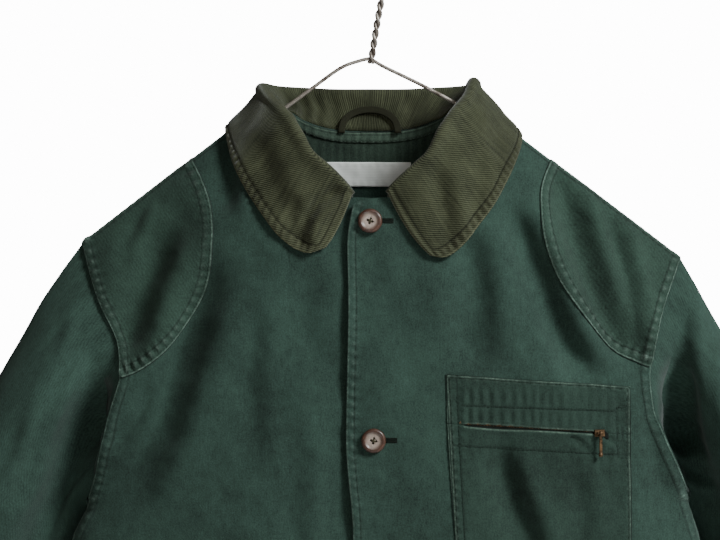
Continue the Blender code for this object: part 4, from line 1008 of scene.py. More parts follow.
def plain_cloth(name, colour, scale):
    """A close tape or thread: one dye, a fine weave."""
    g = Graph(name)
    fine = g.noise(g.place(), scale, 2, 0.6)
    g.link(g.mix(fine, shade(colour, 0.7), shade(colour, 1.3)), "Base Color")
    g.bump(fine, 0.0002, 0.6)
    g.constant(Roughness=0.9, Specular_IOR_Level=0.25)
    return g.made


def label_material():
    g = Graph("label_weave")
    uv = g.uv()
    ribs = g.node("TexWave", {"wave_type": "BANDS", "bands_direction": "Y"}, Vector=uv,
                  Scale=1400 / 6.283, Distortion=0.5).outputs[0]
    tint = g.ramp(g.noise(uv, 60, 3), 0.35, 0.7)
    g.link(g.mix(tint, shade((236, 237, 231)), shade((250, 251, 247))), "Base Color")
    g.bump(ribs, 0.00012, 0.5)
    g.constant(Roughness=0.6, Sheen_Weight=0.1)
    return g.made


def horn_material():
    """Reddish brown button with dark marbling, and a pale face round its middle that is a painted
    highlight.
    """
    g = Graph("button_horn")
    place = g.place()
    marble = g.noise(g.stretched(place, 1, 2.2, 1), 170, 4, 0.65)
    grain = g.noise(place, 900, 2, 0.6)
    tone = g.ramp(g.plus(marble, g.times(grain, 0.25)), 0.42, 0.85)
    colour = g.mix(tone, shade((38, 20, 14)), shade((96, 60, 44)))
    flat = g.node("VectorMath", {"operation": "MULTIPLY"}, i0=place, i1=(1, 1, 0)).outputs[0]
    away = g.node("VectorMath", {"operation": "LENGTH"}, i0=flat).outputs["Value"]
    # Painted highlight: a pale patch on the flat face, where a lamp's reflection would show.
    painted_highlight = g.ramp(g.plus(away, g.times(marble, 0.0035)), 0.0098, 0.0062)
    g.link(g.mix(g.times(painted_highlight, 0.85), colour, shade((178, 160, 148))), "Base Color")
    g.link(g.ramp(grain, -0.6, 1.6), "Roughness")
    g.bump(grain, 0.00008, 0.4)
    g.constant(Coat_Weight=0.35, Coat_Roughness=0.2, Specular_IOR_Level=0.5)
    return g.made


def metal_material(name, dark, light, rough, scale, metallic):
    """Used metal: dull patches, fine scratches."""
    g = Graph(name)
    place = g.place()
    patches = g.noise(place, scale, 4, 0.6)
    scratch = g.noise(g.stretched(place, 1, 1, 12), scale * 5, 2, 0.6)
    tone = g.ramp(g.plus(patches, g.times(scratch, 0.3)), 0.45, 0.85)
    g.link(g.mix(tone, shade(dark), shade(light)), "Base Color")
    g.link(g.plus(g.times(patches, 0.3), rough - 0.15), "Roughness")
    g.bump(scratch, 0.00006, 0.5)
    g.constant(Metallic=metallic)
    return g.made


BODY_CANVAS = canvas_material("canvas_body", (43, 60, 53), (96, 116, 106), 0.3, 0.0)
PATCH_CANVAS = canvas_material("canvas_patch", (42, 58, 50), (104, 122, 112), 0.2, 0.1)
SLEEVE_CANVAS = canvas_material("canvas_sleeve", (44, 61, 54), (84, 102, 94), 0.2, 0.12)
POCKET_CANVAS = canvas_material("canvas_pocket", (38, 53, 46), (96, 114, 102), 0.3, 0.0)
# The facing's canvas is darker than the body's canvas: painted shade inside the neck.
SHADED_FACING_CANVAS = canvas_material("canvas_facing_painted_shade", (40, 52, 44), (66, 82, 70), 0.4, 0.0)
TAPE_CANVAS = canvas_material("canvas_tape", (58, 72, 62), (88, 106, 92), 0.4, 0.0)
CORD = corduroy_material("corduroy_pile", (56, 58, 44), (84, 84, 66))
THREADS, DARK_THREADS, CORD_THREADS, BUTTON_THREADS = (
    plain_cloth("thread_" + name, colour, 1500) for name, colour in {
        "green": (42, 56, 48), "dark": (24, 30, 24), "olive": (62, 62, 46),
        "button": (66, 60, 44)}.items())
TAPE = plain_cloth("zip_tape_weave", (20, 24, 20), 1100)
LOOP_CLOTH = plain_cloth("loop_weave", (40, 40, 28), 700)
LABEL = label_material()
HORN = horn_material()
BRASS = metal_material("zip_metal", (44, 34, 24), (126, 94, 62), 0.48, 260, 0.5)
STEEL = metal_material("hanger_metal", (96, 80, 70), (206, 196, 186), 0.38, 90, 0.45)


def keep(piece, slot, *nodes):
    """Every piece rides on the jacket; some stand for a CAD node."""
    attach(piece, "jacket")
    if nodes:
        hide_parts(*nodes)


# ---------------------------------------------------------------- fronts and back
def ladder(stops):
    """Uneven places from (place, spacing) stops: the spacing changes smoothly between stops."""
    places, spacings = zip(*stops)
    at, out = float(places[0]), []
    while at < places[-1]:
        out.append(at)
        at += float(np.interp(at, places, spacings))
    out.append(float(places[-1]))
    return np.array(out)


def trimmed(values):
    """The same run with a count that suits the coarser inner grid."""
    extra = (-(len(values) - 1)) % INNER_STEP
    count = len(values) + extra
    return np.interp(np.linspace(0, 1, count), np.linspace(0, 1, len(values)), values)


def to_shoulder(side):
    """The last stops across a panel, closer beside the armhole."""
    top = SHOULDER[side][0]
    return [(top - 22, 2.6), (top - 10, 1.5), (top, 1.1)]


# Shares of the drop from a panel's top edge to its hem, closest near the seams.
PANEL_ROWS = trimmed(ladder([(0, 0.0006), (0.02, 0.0014), (0.06, 0.0026), (0.36, 0.0027),
                             (0.5, 0.0036), (0.96, 0.0036), (1.0, 0.0022)]))
LAP_ROUND = 8  # radius of the lap's upper corner


def settle(middle, normals, relief, on_seam, face):
    """Seam points lie beside the plane Y = 0, with their normals in it."""
    middle[on_seam, 1] = face * SEAM / 2
    relief[on_seam] = 0
    normals[on_seam, 1] = 0
    normals[on_seam] = unit(normals[on_seam])


def rim_of(middle, normals, z, column):
    """What a sleeve takes over from a panel's armhole edge."""
    return {"rim": middle[column], "normals": normals[column], "z": z[column]}


def front_piece(side):
    edges = PLACKET_EDGE if side == LEFT else UNDERLAP_EDGE
    lap_z = COLLAR_START[1] - LAP_DROP[side]
    edge_top = float(smooth_through(lap_z, edges, "x")) * side
    outer_top, _ = SHOULDER[side]
    top_x = trimmed(ladder([(edge_top, 0.5), (edge_top + 3, 1.2), (edge_top + 12, 1.7),
                            (40, 3.6), (NECK_X, 3.2), *to_shoulder(side)]))
    start_x, start_z = COLLAR_START
    turns = np.linspace(0, 90, 181)
    neck_x, neck_z = front_neckline(turns)
    lap = lap_z + (start_z - lap_z) * eased((top_x - edge_top) / (start_x - edge_top))
    neck = np.where(top_x < NECK_X, np.interp(top_x, neck_x, neck_z), seam_height(side * top_x))
    top_z = np.where(top_x < start_x, lap, neck)
    if side == LEFT:
        beside = np.clip(1 - (top_x - edge_top) / LAP_ROUND, 0, 1)
        top_z = top_z - LAP_ROUND * (1 - np.sqrt(1 - beside**2))
    share = (top_x - edge_top) / (outer_top - edge_top)
    z = top_z[:, None] + PANEL_ROWS[None, :] * (HEM_Z - top_z[:, None])
    edge = smooth_through(z[0], edges, "x") * side
    outer = side_x(side, z[-1], FRONT)
    x = side * (edge[None, :] + share[:, None] * (outer - edge)[None, :])
    lines = list(FRONT_LINES[side].values())
    middle, normals, relief, marks = front_skin(side, x, z, 0, lines)
    on_seam = np.zeros(x.shape, bool)
    on_seam[top_x >= NECK_X, 0] = True
    on_seam[-1, z[-1] <= UNDERARM[side][1]] = True
    settle(middle, normals, relief, on_seam, FRONT)
    node = "front_" + SIDES[side]
    piece = cloth(node + "_canvas", middle, normals, relief, CANVAS, BODY_CANVAS, (x, z), marks)
    keep(piece, "canvas", node)
    return rim_of(middle, normals, z, -1)


NECK_COLUMNS = 46  # across the back between the necks of the shoulder seams


def back_piece():
    right, left = [trimmed(ladder([(NECK_X, 3.6), *to_shoulder(side)])) for side in SIDES]
    neck = trimmed(np.linspace(-NECK_X, NECK_X, NECK_COLUMNS))
    top_x = np.concatenate([-right[:0:-1], neck, left[1:]])
    outward = np.abs(top_x)
    top_z = np.where(outward < NECK_X, back_neckline(outward), seam_height(top_x))
    z = top_z[:, None] + PANEL_ROWS[None, :] * (HEM_Z - top_z[:, None])
    right_x = side_x(RIGHT, z[0], BACK) / SHOULDER[RIGHT][0]
    left_x = side_x(LEFT, z[-1], BACK) / SHOULDER[LEFT][0]
    x = top_x[:, None] * np.where(top_x[:, None] < 0, right_x[None, :], left_x[None, :])
    middle, normals, relief, marks = back_skin(x, z, 0, list(BACK_LINES.values()))
    on_seam = np.zeros(x.shape, bool)
    on_seam[outward >= NECK_X, 0] = True
    on_seam[0, z[0] <= UNDERARM[RIGHT][1]] = True
    on_seam[-1, z[-1] <= UNDERARM[LEFT][1]] = True
    settle(middle, normals, relief, on_seam, BACK)
    piece = cloth("back_canvas", middle, normals, relief, CANVAS, BODY_CANVAS, (x, z), marks)
    keep(piece, "canvas", "back")
    return {RIGHT: rim_of(middle, normals, z, 0), LEFT: rim_of(middle, normals, z, -1)}


# ---------------------------------------------------------------- sleeves
SLEEVE_SEED = 31
ARMHOLE_POINTS = 133  # on each face, from the shoulder to the underarm
# A sleeve starts under the body's folded edge and comes out from below it. Its first rows lie
# so far outwards from that edge and so deep below it, at these distances down the sleeve.
STARTS = [(-3.5, 1.9), (-0.6, 1.5), (0.8, 0.9)]
START_RUNS, FIRST_RUN = [-4, -1, 1], 8


def armhole_ring(side, front, back):
    """The armhole's points with their normals, down the front and up the back."""
    bottom_z = UNDERARM[side][1]
    fine_z = np.linspace(SHOULDER[side][1], bottom_z, ARMHOLE_POINTS)

    def rim(panel, key):
        above = panel["z"] >= bottom_z - 1e-6
        order = np.argsort(panel["z"][above])
        return at_run(fine_z, panel["z"][above][order], panel[key][above][order])

    armhole, normals = [np.concatenate([rim(front, key), rim(back, key)[1:-1][::-1]])
                        for key in ("rim", "normals")]
    armhole[[0, ARMHOLE_POINTS - 1], 1] = 0
    return armhole, unit(normals)


def sleeve_rings(side, armhole, is_front, reach, lobe):
    """Rings of the sleeve's form, which turn from the armhole's form to a round one, and how
    far down the sleeve they lie."""
    top, bottom = armhole[0], armhole[ARMHOLE_POINTS - 1]
    chord = bottom - top
    square = np.array([chord[2], 0, -chord[0]])
    along = (armhole - top) @ chord / (chord @ chord)
    aside = (armhole - top) @ square / (square @ square)
    rows = np.array(SLEEVES[side], float)
    steps = np.diff((rows[:, :2] + rows[:, 2:4]) / 2, axis=0)
    stops = np.concatenate([[0], np.cumsum(np.hypot(*steps.T))])
    places = trimmed(ladder([(0, 2.4), (stops[-1] - 30, 3.6), (stops[-1], 2.0)]))[INNER_STEP:]
    rings = []
    for outer_x, outer_z, inner_x, inner_z, inner_y, ahead, behind, roundness in zip(
            *(smooth_curve(places, stops, column) for column in rows.T)):
        outer = np.array([side * outer_x, 0, outer_z])
        inner = np.array([side * inner_x, inner_y, inner_z])
        round_ring = (outer + inner) / 2 + np.outer(reach, (outer - inner) / 2)
        round_ring[:, 1] += lobe * np.where(is_front, -ahead, behind)
        line = inner - outer
        across = np.array([line[2], 0, -line[0]])
        flat_ring = outer + np.outer(along, line) + np.outer(aside, across)
        flat_ring[:, 1] += armhole[:, 1]
        rings.append((1 - roundness) * flat_ring + roundness * round_ring)
    return np.array(rings), places


def sleeve_piece(side, front, back):
    """Rings from the armhole to the cuff; returns the cuff's stitch row."""
    armhole, rim_normals = armhole_ring(side, front, back)
    low = ARMHOLE_POINTS - 1
    is_front = np.arange(len(armhole)) <= low
    walk = np.linalg.norm(np.diff(armhole, axis=0, append=armhole[:1]), axis=1)
    front_walk = np.concatenate([[0], np.cumsum(walk[:low])])
    back_walk = np.cumsum(walk[low:])[:-1]
    angle = np.concatenate([pi * front_walk / front_walk[-1],
                            pi + pi * back_walk / walk[low:].sum()])
    swing, lobe = np.cos(angle), np.abs(np.sin(angle)) ** (2 / SLEEVE_POWER)
    reach = np.sign(swing) * np.abs(swing) ** (2 / SLEEVE_POWER)
    rings, places = sleeve_rings(side, armhole, is_front, reach, lobe)
    lobe = np.clip(lobe, 0, 1)
    around = np.roll(armhole, -1, axis=0) - np.roll(armhole, 1, axis=0)
    outward = unit(np.cross(around, rim_normals))
    outward *= np.sign(np.sum(outward * (rings[0] - armhole), axis=1))[:, None]
    starts = [armhole + outward * out - rim_normals * deep for out, deep in STARTS]
    points = np.concatenate([np.array(starts), rings])
    ease_in = np.concatenate([[0, 0, 0], eased(places / 18)])[:, None]
    to_front = np.where(is_front, 1, 0.0)[None, :] * lobe[None, :]
    folded = fold_depth(points[..., 0], points[..., 2], SLEEVE_FOLDS)
    points[..., 1] += folded * to_front * ease_in
    points = np.swapaxes(points, 0, 1)
    sideways = np.roll(points, -2, axis=0) - np.roll(points, 2, axis=0)
    normals = unit(np.cross(sideways, np.gradient(points, axis=1)))
    centre = points.mean(axis=0, keepdims=True)
    if np.mean(np.sum(normals * (points - centre), axis=-1)) < 0:
        normals = -normals
    normals[:, :len(STARTS)] = rim_normals[:, None]
    run = np.concatenate([START_RUNS, places + FIRST_RUN])[None, :]
    around_run = np.concatenate([[0], np.cumsum(walk)[:-1]])[:, None]
    x, z = points[..., 0], points[..., 2]
    flank = np.where(is_front, 1, -1.0)[:, None] * lobe[:, None]
    # The back has the front's creases again, a little aside.
    slow = (0.9 * uneven(x, z + 40 * flank, 70, SLEEVE_SEED + side)
            + crease_relief(x, z, SLEEVE_CREASES) * np.where(flank > 0, flank, 0)
            + crease_relief(x + 12, z - 18, SLEEVE_CREASES) * np.where(flank < 0, -flank, 0))
    slow = slow * eased((run - 2) / 16)
    wave = ripple(around_run, PUCKER, 1.3, 21)
    head = 0.45 * wave * hump(run - 3, 6)
    cuff_run = (places[-1] + FIRST_RUN) - run
    in_cuff = hump(cuff_run - 12, 10)
    cuff = 0.5 * (1 - eased((cuff_run - HEM_BAND) / 3)) + 0.3 * wave * in_cuff
    relief = np.broadcast_to(head + cuff, x.shape) * (run > 1.5)
    marks = {"edge": cuff_run, "row": cuff_run - HEM_BAND,
             "crest": (0.5 + 0.5 * wave) * (hump(run - 4, 3) + in_cuff)}
    middle = points + normals * slow[..., None]
    node = "sleeve_" + SIDES[side]
    piece = cloth(node + "_canvas", middle, normals, relief, CANVAS, SLEEVE_CANVAS,
                  (around_run, -run), marks, closed=True)
    keep(piece, "canvas", node)
    outer = middle + normals * relief[..., None]
    column = int(np.argmin(np.abs(cuff_run[0] - HEM_BAND)))
    return [np.vstack([grid[:, column], grid[:1, column]]) for grid in (outer, normals)]


# ---------------------------------------------------------------- collar
COLLAR_GAP = SEAM + 0.05  # between the collar and the neck's edge
FALL_POINT = 11  # the point of a collar section at the middle of its fall
COLLAR_ROW = 7  # from the collar's edge to its stitch row
COLLAR_STEP = 1.3  # between points along the collar
# Across the collar, measured from the neck seam, and a distance that is no edge at all.
ROLL_AT, FALL_FROM, NO_EDGE = 32, 34, 99
ROW_INSET = 8.2  # from the collar's ends to the ends of its stitch row


def collar_section(neck, station, side, face, tangent):
    """Middle line of the collar's cloth at one station: stand, roll and fall."""
    roll = np.array([side * station.roll_x, station.roll_y, station.roll_z])
    x, z = side * station.edge_x, station.edge_z
    y = face * float(form_depth(x, z, face, station.lift)) if face else 0.0
    edge = np.array([x, y, z])
    upward = unit(unit(roll - neck) + np.array([0, 0, 1.0]))
    upward = unit(upward - tangent * np.dot(upward, tangent))
    outward = unit(np.cross(tangent, upward))
    if np.dot(outward, edge - roll) < 0:
        outward = -outward
    radius = station.radius
    centre = roll - upward * radius
    stand_top = centre - outward * radius
    points = [neck + (stand_top - neck) * t for t in (0, 0.33, 0.67)]
    for degrees in (180, 135, 90, 45, 0):
        angle = radians(degrees)
        points.append(centre + radius * (cos(angle) * outward + sin(angle) * upward))
    start = points[-1]
    length = np.linalg.norm(edge - start)
    full = eased((station.roll_z + 175) / 30) if face != BACK else 0.0
    leave = start - upward * (0.16 - 0.06 * full) * length + outward * 0.16 * full * length
    arrive = edge + (start - edge) * 0.4 + outward * (0.05 + 0.06 * full) * length
    bend = np.cross(outward, unit(edge - start)) * station.bow
    if bend[0] * side > 0:
        bend = -bend
    for t in (0.15, 0.3, 0.45, 0.6, 0.75, 0.88, 1):
        point = bezier(start, leave, arrive, edge, t) + bend * 4 * t * (1 - t)
        if face:
            clear = float(form_depth(point[0], point[2], face, CORDUROY / 2 + SEAM + 0.9))
            if clear > 0:
                point[1] = face * max(face * point[1], clear)
        points.append(point)
    return points


def neck_stations():
    """(neck point, normal, station, side, face) round the neck, from right to left."""
    rows = {}
    for side in SIDES:
        turns = np.array([s.turn for s in COLLAR_FRONT[side]] + [90], float)
        x, z = front_neckline(turns)
        rim, normals = with_normals(lambda a, b, s=side: front_y(s, a, b), side * x, z, FRONT)
        row = [(rim_middle(rim, normals, i), normals[i], station, side, FRONT)
               for i, station in enumerate(COLLAR_FRONT[side])]
        corner = np.array([side * NECK_X, 0, NECK_Z])
        slope = shoulder_slope(side)
        up_seam = unit(np.array([-side, 0, slope]))
        normal = unit(np.array([side * slope, 0, 1]))
        inward = CORDUROY / 2 + 0.6 * NECK_TWIST
        neck = corner - normal * inward + up_seam * (COLLAR_GAP + 1.3 * NECK_TWIST)
        row.append((neck, normal, COLLAR_SIDE[side], side, 0))
        rows[side] = row
    outward = np.array([NECK_X] + [s.turn for s in COLLAR_BACK], float)
    for side in SIDES:
        x = side * np.append(outward, -outward[-2])
        rim, normals = with_normals(back_y, x, back_neckline(np.abs(x)), BACK)
        for i, station in enumerate(COLLAR_BACK if side == RIGHT else COLLAR_BACK[:-1]):
            neck = rim_middle(rim, normals, i + 1)
            rows[side].append((neck, normals[i + 1], station, side, BACK))
    return rows[RIGHT] + rows[LEFT][::-1]


def rim_middle(rim, normals, i):
    normal = normals[i]
    off = unit(np.cross(rim[min(i + 1, len(rim) - 1)] - rim[max(i - 1, 0)], normal))
    if np.dot(off, (-rim[i][0], 0, NECK_Z - rim[i][2] + 1)) < 0:
        off = -off
    twist = NECK_TWIST * eased((abs(rim[i][0]) - 68) / 10)
    return rim[i] - normal * (CORDUROY / 2 + 0.6 * twist) + off * (COLLAR_GAP + twist)


def collar_piece():
    stations = neck_stations()
    rolls = np.array([[side * s.roll_x, s.roll_y, s.roll_z] for _, _, s, side, _ in stations])
    tangents = unit(np.gradient(rolls, axis=0))
    lines = np.array([collar_section(neck, station, side, face, tangent)
                      for (neck, _, station, side, face), tangent in zip(stations, tangents)])
    run = run_length(lines[:, FALL_POINT])
    columns = trimmed(np.arange(0, run[-1], COLLAR_STEP))
    columns = columns * run[-1] / columns[-1]
    dense = spline(run, lines, columns)
    widths = np.linalg.norm(np.diff(dense, axis=1), axis=2).mean(0)
    across = np.concatenate([[0], np.cumsum(widths)])
    total = across[-1]
    edge_rows = trimmed(ladder([(0, 3.0), (20, 2.6), (30, 1.7), (50, 1.9), (total - 12, 1.7),
                                (total - 9, 0.9), (total - 2, 0.8), (total, 0.4)]))
    points = np.swapaxes(spline(across, np.swapaxes(dense, 0, 1), edge_rows), 0, 1)
    normals = unit(np.cross(np.gradient(points, axis=0), np.gradient(points, axis=1)))
    rim_normals = spline(run, np.array([normal for _, normal, _, _, _ in stations]), columns)
    if np.mean(np.sum(normals[:, 1] * rim_normals, axis=1)) < 0:
        normals = -normals
    shown = -normals  # the pile side: the stand's inside and the fall's outside
    rows, place = edge_rows[None, :], columns[:, None]
    from_edge = total - rows
    ends = np.minimum(place, run[-1] - place)
    border = np.minimum(from_edge, np.where(rows > FALL_FROM, ends * 0.85, NO_EDGE))
    on_fall = eased((rows - FALL_FROM) / 12)
    x, z = points[..., 0], points[..., 2]
    slow = (on_fall * (1.2 * uneven(place, from_edge, 48, 41) + crease_relief(x, z, FALL_CREASES))
            + (1 - eased((rows - 22) / 8)) * crease_relief(x, z, STAND_CREASES))
    wave = ripple(place, 6.6, 1.2, 19) * (0.7 + 0.3 * np.sin(place / 37))
    groove = 0.8 * hump(border - 7.4, 1.2)
    pucker = 1.15 * wave * hump(border - 4, 3.0)
    relief = CORDUROY / 2 - groove + pucker - 0.9 * hump(border, 0.9)
    crest = 0.95 * (0.5 + 0.5 * wave) * hump(border - 4, 2.6) + 0.3 * hump(rows - 30, 5)
    middle = points + shown * slow[..., None]
    piece = cloth("collar_corduroy", middle, shown, relief, CORDUROY / 2, CORD,
                  (place, -from_edge), {"edge": border, "row": border - COLLAR_ROW, "crest": crest,
                                        "wale": wale_place(points, columns, edge_rows)})
    keep(piece, "corduroy", "collar")
    outer = middle + shown * (relief + 0.1)[..., None]
    row = int(np.argmin(np.abs(edge_rows - (total - COLLAR_ROW))))
    inset = int(np.argmin(np.abs(columns - ROW_INSET)))
    return outer[inset:-inset, row], shown[inset:-inset, row]


def wale_place(points, columns, edge_rows):
    """Distance across the wales: along the collar on its stand and back, but the wales of the
    front falls lie level."""
    x, z = points[..., 0], points[..., 2]
    roll = int(np.argmin(np.abs(edge_rows - ROLL_AT)))
    length = columns[-1]
    across = np.broadcast_to(columns[:, None], x.shape)
    on_fall = eased((edge_rows[None, :] - 24) / 10)
    for side, tilt in ((RIGHT, 0.28), (LEFT, 0.06)):
        inward = columns if side == RIGHT else length - columns
        near = int(np.argmin(np.abs(inward - 70)))
        rise = z - z[near, roll] + tilt * (x - x[near, roll])
        level = columns[near] - side * 1.12 * rise
        share = on_fall * eased((150 - inward) / 50)[:, None]
        across = across + share * (level - across)
    return across + 0.45 * uneven(x, z, 20, 44)


# ---------------------------------------------------------------- patches and pocket
def patch_edge(side):
    """The patch's curved edge, from the shoulder seam to the armhole."""
    path = resample(patch_path(side), 0.8)
    below_seam = path[:, 1] < seam_height(path[:, 0]) - PATCH_INSET
    before_armhole = np.abs(path[:, 0]) < smooth_through(
        path[:, 1], ARMHOLES[side], "front_x") - PATCH_INSET
    return path[below_seam & before_armhole]


def patch_piece(side):
    """The shoulder patch: from its curved edge out to the armhole and up to the shoulder seam."""
    edge = resample(patch_edge(side), 1.6)
    edge = edge[: len(edge) - (len(edge) - 1) % INNER_STEP]
    # Each point of the curved edge runs to a point of the seam: the shoulder, then the armhole.
    top_x = np.linspace(abs(edge[0][0]), SHOULDER[side][0] - PATCH_INSET, 60)
    seam = np.stack([side * top_x, seam_height(side * top_x) - PATCH_INSET], axis=1)
    low = armhole_path(side, FRONT)[::-1]
    low = low[(low[:, 1] > edge[-1][1]) & (low[:, 1] < seam[-1][1])]
    low = low - (side * PATCH_INSET, 0)
    rim = resample(np.vstack([seam, low, edge[-1][None]]), 1.0)
    target = evenly(rim, np.linspace(0, 1, len(edge)))
    t = trimmed(ladder([(0, 0.005), (0.02, 0.012), (0.1, 0.016), (0.9, 0.018), (1, 0.012)]))
    t = t[None, :, None]
    flat = edge[:, None] * (1 - t) + target[:, None] * t
    x, z = flat[..., 0], flat[..., 1]
    middle, normals, relief, marks = front_skin(side, x, z, 0, patch_lines(side))
    piece = cloth(f"patch_{SIDES[side]}_canvas", middle + normals * PATCH_LIFT, normals,
                  relief - LAID, PATCH, PATCH_CANVAS, (x, z), marks)
    keep(piece, "canvas", "shoulder_patch_" + SIDES[side])


def patch_lines(side):
    return [PATCH_LINES[side], FRONT_LINES[side]["armhole"], FRONT_LINES[side]["shoulder"]]


def pocket_point(u, v):
    """Place on the pocket: u from its left to its right edge, v from its top to its bottom."""
    (x0, z0), (x1, z1), (x2, z2), (x3, z3) = POCKET_CORNERS
    x = (1 - v) * ((1 - u) * x0 + u * x1) + v * ((1 - u) * x3 + u * x2)
    z = (1 - v) * ((1 - u) * z0 + u * z1) + v * ((1 - u) * z3 + u * z2)
    return x, z


POCKET_ROUND = 14  # the lower corners' radius
POCKET_WIDE = 160
POCKET_LIFT = SEAM + POCKET_WALL
# Stitch rows above and below the slit, and the box at the slider's end.
BAND_ROW = [(78, -418.5), (212, -424)]
LOW_ROW = [(70, -452.5), (213, -461.5)]
BAR = [(221, -420.5), (212.5, -420), (213.5, -463), (222, -464)]


def pocket_piece():
    """The chest pocket: the strip above the slit, and the bag below it."""
    rim = SewnLine([pocket_point(*corner) for corner in ((0, 1), (0, 0), (1, 0), (1, 1), (0, 1))],
                   (2.0,), 4.2, 0.3, 0.55, 1.9, 0.8)
    inner = [
        ([pocket_point(0.055, 0.0), pocket_point(0.055, 1)], 4, 0, 0.5, 0.4),
        (BAND_ROW, 14, 0, 1.2, 2.7),
        (LOW_ROW, 8, 0, 0.5, 1.1),
        (BAR, 2, 0, 0.1, 1.1),
        ([(217, -421), (218, -463)], 6, -0.7, 0.5, 1.1),
    ]
    lines = [rim] + [SewnLine(row, (0,), *sizes, 0, False) for row, *sizes in inner]
    u = trimmed(np.concatenate([[0, 0.003, 0.007, 0.013], np.linspace(0.02, 0.98, 100),
                                [0.987, 0.993, 0.997, 1]]))
    pieces = []
    for part, count in {"top": 34, "bag": 97}.items():
        uu, vv = np.meshgrid(u, trimmed(np.linspace(0, 1, count)), indexing="ij")
        top_x, top_z = pocket_point(uu, 0)
        low_x, low_z = pocket_point(uu, 1)
        # The slit's line crosses the whole pocket and opens a little in its middle.
        slit_x, slit_z = slit_place(uu)
        opening = slit_opening(slit_x)
        if part == "top":
            x = top_x + (slit_x - top_x) * vv
            z = top_z + (slit_z + opening - top_z) * vv
        else:
            x = slit_x + (low_x - slit_x) * vv
            z = slit_z - opening + (low_z - slit_z + opening) * vv
            beside = 1 - np.clip(np.minimum(uu, 1 - uu) / (POCKET_ROUND / POCKET_WIDE), 0, 1)
            z = z + POCKET_ROUND * (1 - np.sqrt(np.clip(1 - beside**2, 0, 1))) * vv**3
        from_slit = np.abs(z - slit_z) - opening
        opened = eased((slit_x - ZIP_ENDS[0][0]) / 5) * eased((ZIP_ENDS[1][0] - slit_x) / 5)
        lip = opened * (0.5 * hump(from_slit - 2.2, 2.2) - 0.4 * hump(from_slit, 0.8))
        middle, normals, relief, marks = front_skin(LEFT, x, z, 0, lines)
        lip = lip + crease_relief(x, z, POCKET_CREASES)
        # At the open slit the edge distance also brings the canvas's painted shade to its lips.
        marks["edge"] = np.where(opened > 0.5, np.minimum(marks["edge"], from_slit + 0.2),
                                 marks["edge"])
        marks["crest"] = marks["crest"] + 0.2 * opened * hump(from_slit - 1.2, 1.0)
        pieces.append(cloth(f"pocket_{part}_canvas", middle + normals * POCKET_LIFT, normals,
                            relief + lip - LAID, POCKET_WALL, POCKET_CANVAS, (x, z), marks))
    keep(pieces[0], "canvas", "chest_pocket")
    keep(pieces[1], "canvas")


def slit_middle(x):
    (x0, z0), (x1, z1) = ZIP_ENDS
    return z0 + (z1 - z0) * (x - x0) / (x1 - x0)


def slit_place(u):
    left, right = pocket_point(0, 0)[0] + 1, pocket_point(1, 0)[0] + 1
    x = left + (right - left) * u
    return x, slit_middle(x)


def slit_opening(x):
    """Half the slit's height: closed at its ends, widest left of its middle."""
    (x0, _), (x1, _) = ZIP_ENDS
    t = np.clip((x - x0) / (x1 - x0), 0, 1)
    inside = eased(t / 0.06) * eased((1 - t) / 0.05)
    return inside * (0.6 + 0.7 * np.exp(-(((t - 0.3) / 0.22) ** 2)) + 0.12 * np.sin(9 * t))


CHAIN_UP = 1.9  # the teeth lie this far above the slit's middle, partly under its upper lip
TAPE_LIFT, TAPE_WALL, TAPE_HALF = SEAM + 0.55, 0.5, 5
TOOTH_PITCH, TOOTH_APART = 1.25, 0.55
TOOTH = np.array([0.38, 0.95, 0.45])  # half sizes along the chain, across it and up
TOOTH_CORNERS = [(-1, -1, -1), (1, -1, -1), (1, 1, -1), (-1, 1, -1),
                 (-0.7, -0.8, 1), (0.7, -0.8, 1), (0.7, 0.8, 1), (-0.7, 0.8, 1)]
TOOTH_FACES = [(0, 2, 1), (0, 3, 2), (4, 5, 6), (4, 6, 7), (0, 1, 5), (0, 5, 4),
               (1, 2, 6), (1, 6, 5), (2, 3, 7), (2, 7, 6), (3, 0, 4), (3, 4, 7)]


def zip_pieces():
    """Tape with its teeth under the slit."""
    (x0, _), (x1, _) = ZIP_ENDS
    xx, ww = np.meshgrid(trimmed(np.linspace(x0 - 3, x1 + 3, 85)), trimmed(np.linspace(-1, 1, 7)),
                         indexing="ij")
    zz = slit_middle(xx) + TAPE_HALF * ww
    middle, normals, _, _ = front_skin(LEFT, xx, zz)
    piece = cloth("zip_tape_cloth", middle + normals * TAPE_LIFT, normals, np.zeros(xx.shape),
                  TAPE_WALL, TAPE, (xx, zz), {})
    keep(piece, "zip_tape", "pocket_zip")
    teeth = []
    for tooth_x in np.arange(x0, x1 - 4, TOOTH_PITCH):
        for side in (-1, 1):
            x = tooth_x + 0.3 * side
            z = float(slit_middle(x)) + side * TOOTH_APART + CHAIN_UP
            centre, normal, _ = left_point(x, z)
            along = unit(np.cross(normal, (0, 0, 1.0)))
            ways = np.array([along, np.cross(along, normal), normal])
            centre = centre + normal * (TAPE_LIFT + 0.05)
            teeth.append((centre + (TOOTH_CORNERS * TOOTH) @ ways, TOOTH_FACES))
    keep(add_mesh("zip_teeth", *join(teeth), BRASS, smooth=False), "zip_brass")


# ---------------------------------------------------------------- sewing
ROW_SPACING = 1.2  # between the points of a stitch row
CROSSING = 2  # a row ends this far before it would cross another
# The pocket's rows along its edges and its left band, as shares of its width and height.
POCKET_ROWS = [[(0.02, 0.012), (0.98, 0.012)], [(0.018, 0.01), (0.018, 0.94)],
               [(0.055, 0.09), (0.055, 0.96)], [(0.982, 0.01), (0.982, 0.94)],
               [(0.1, 0.985), (0.9, 0.985)]]


def stitch_row(path, side=None, lift=0, lines=None):
    """Points and normals on a front, or on the back, along a path in the front view."""
    x, z = resample(path, ROW_SPACING).T
    if side:
        lines = list(FRONT_LINES[side].values()) if lines is None else lines
        points, normals, relief, _ = front_skin(side, x, z, lift, lines)
    else:
        points, normals, relief, _ = back_skin(x, z, lift, list(BACK_LINES.values()))
    return points + normals * relief[:, None], normals


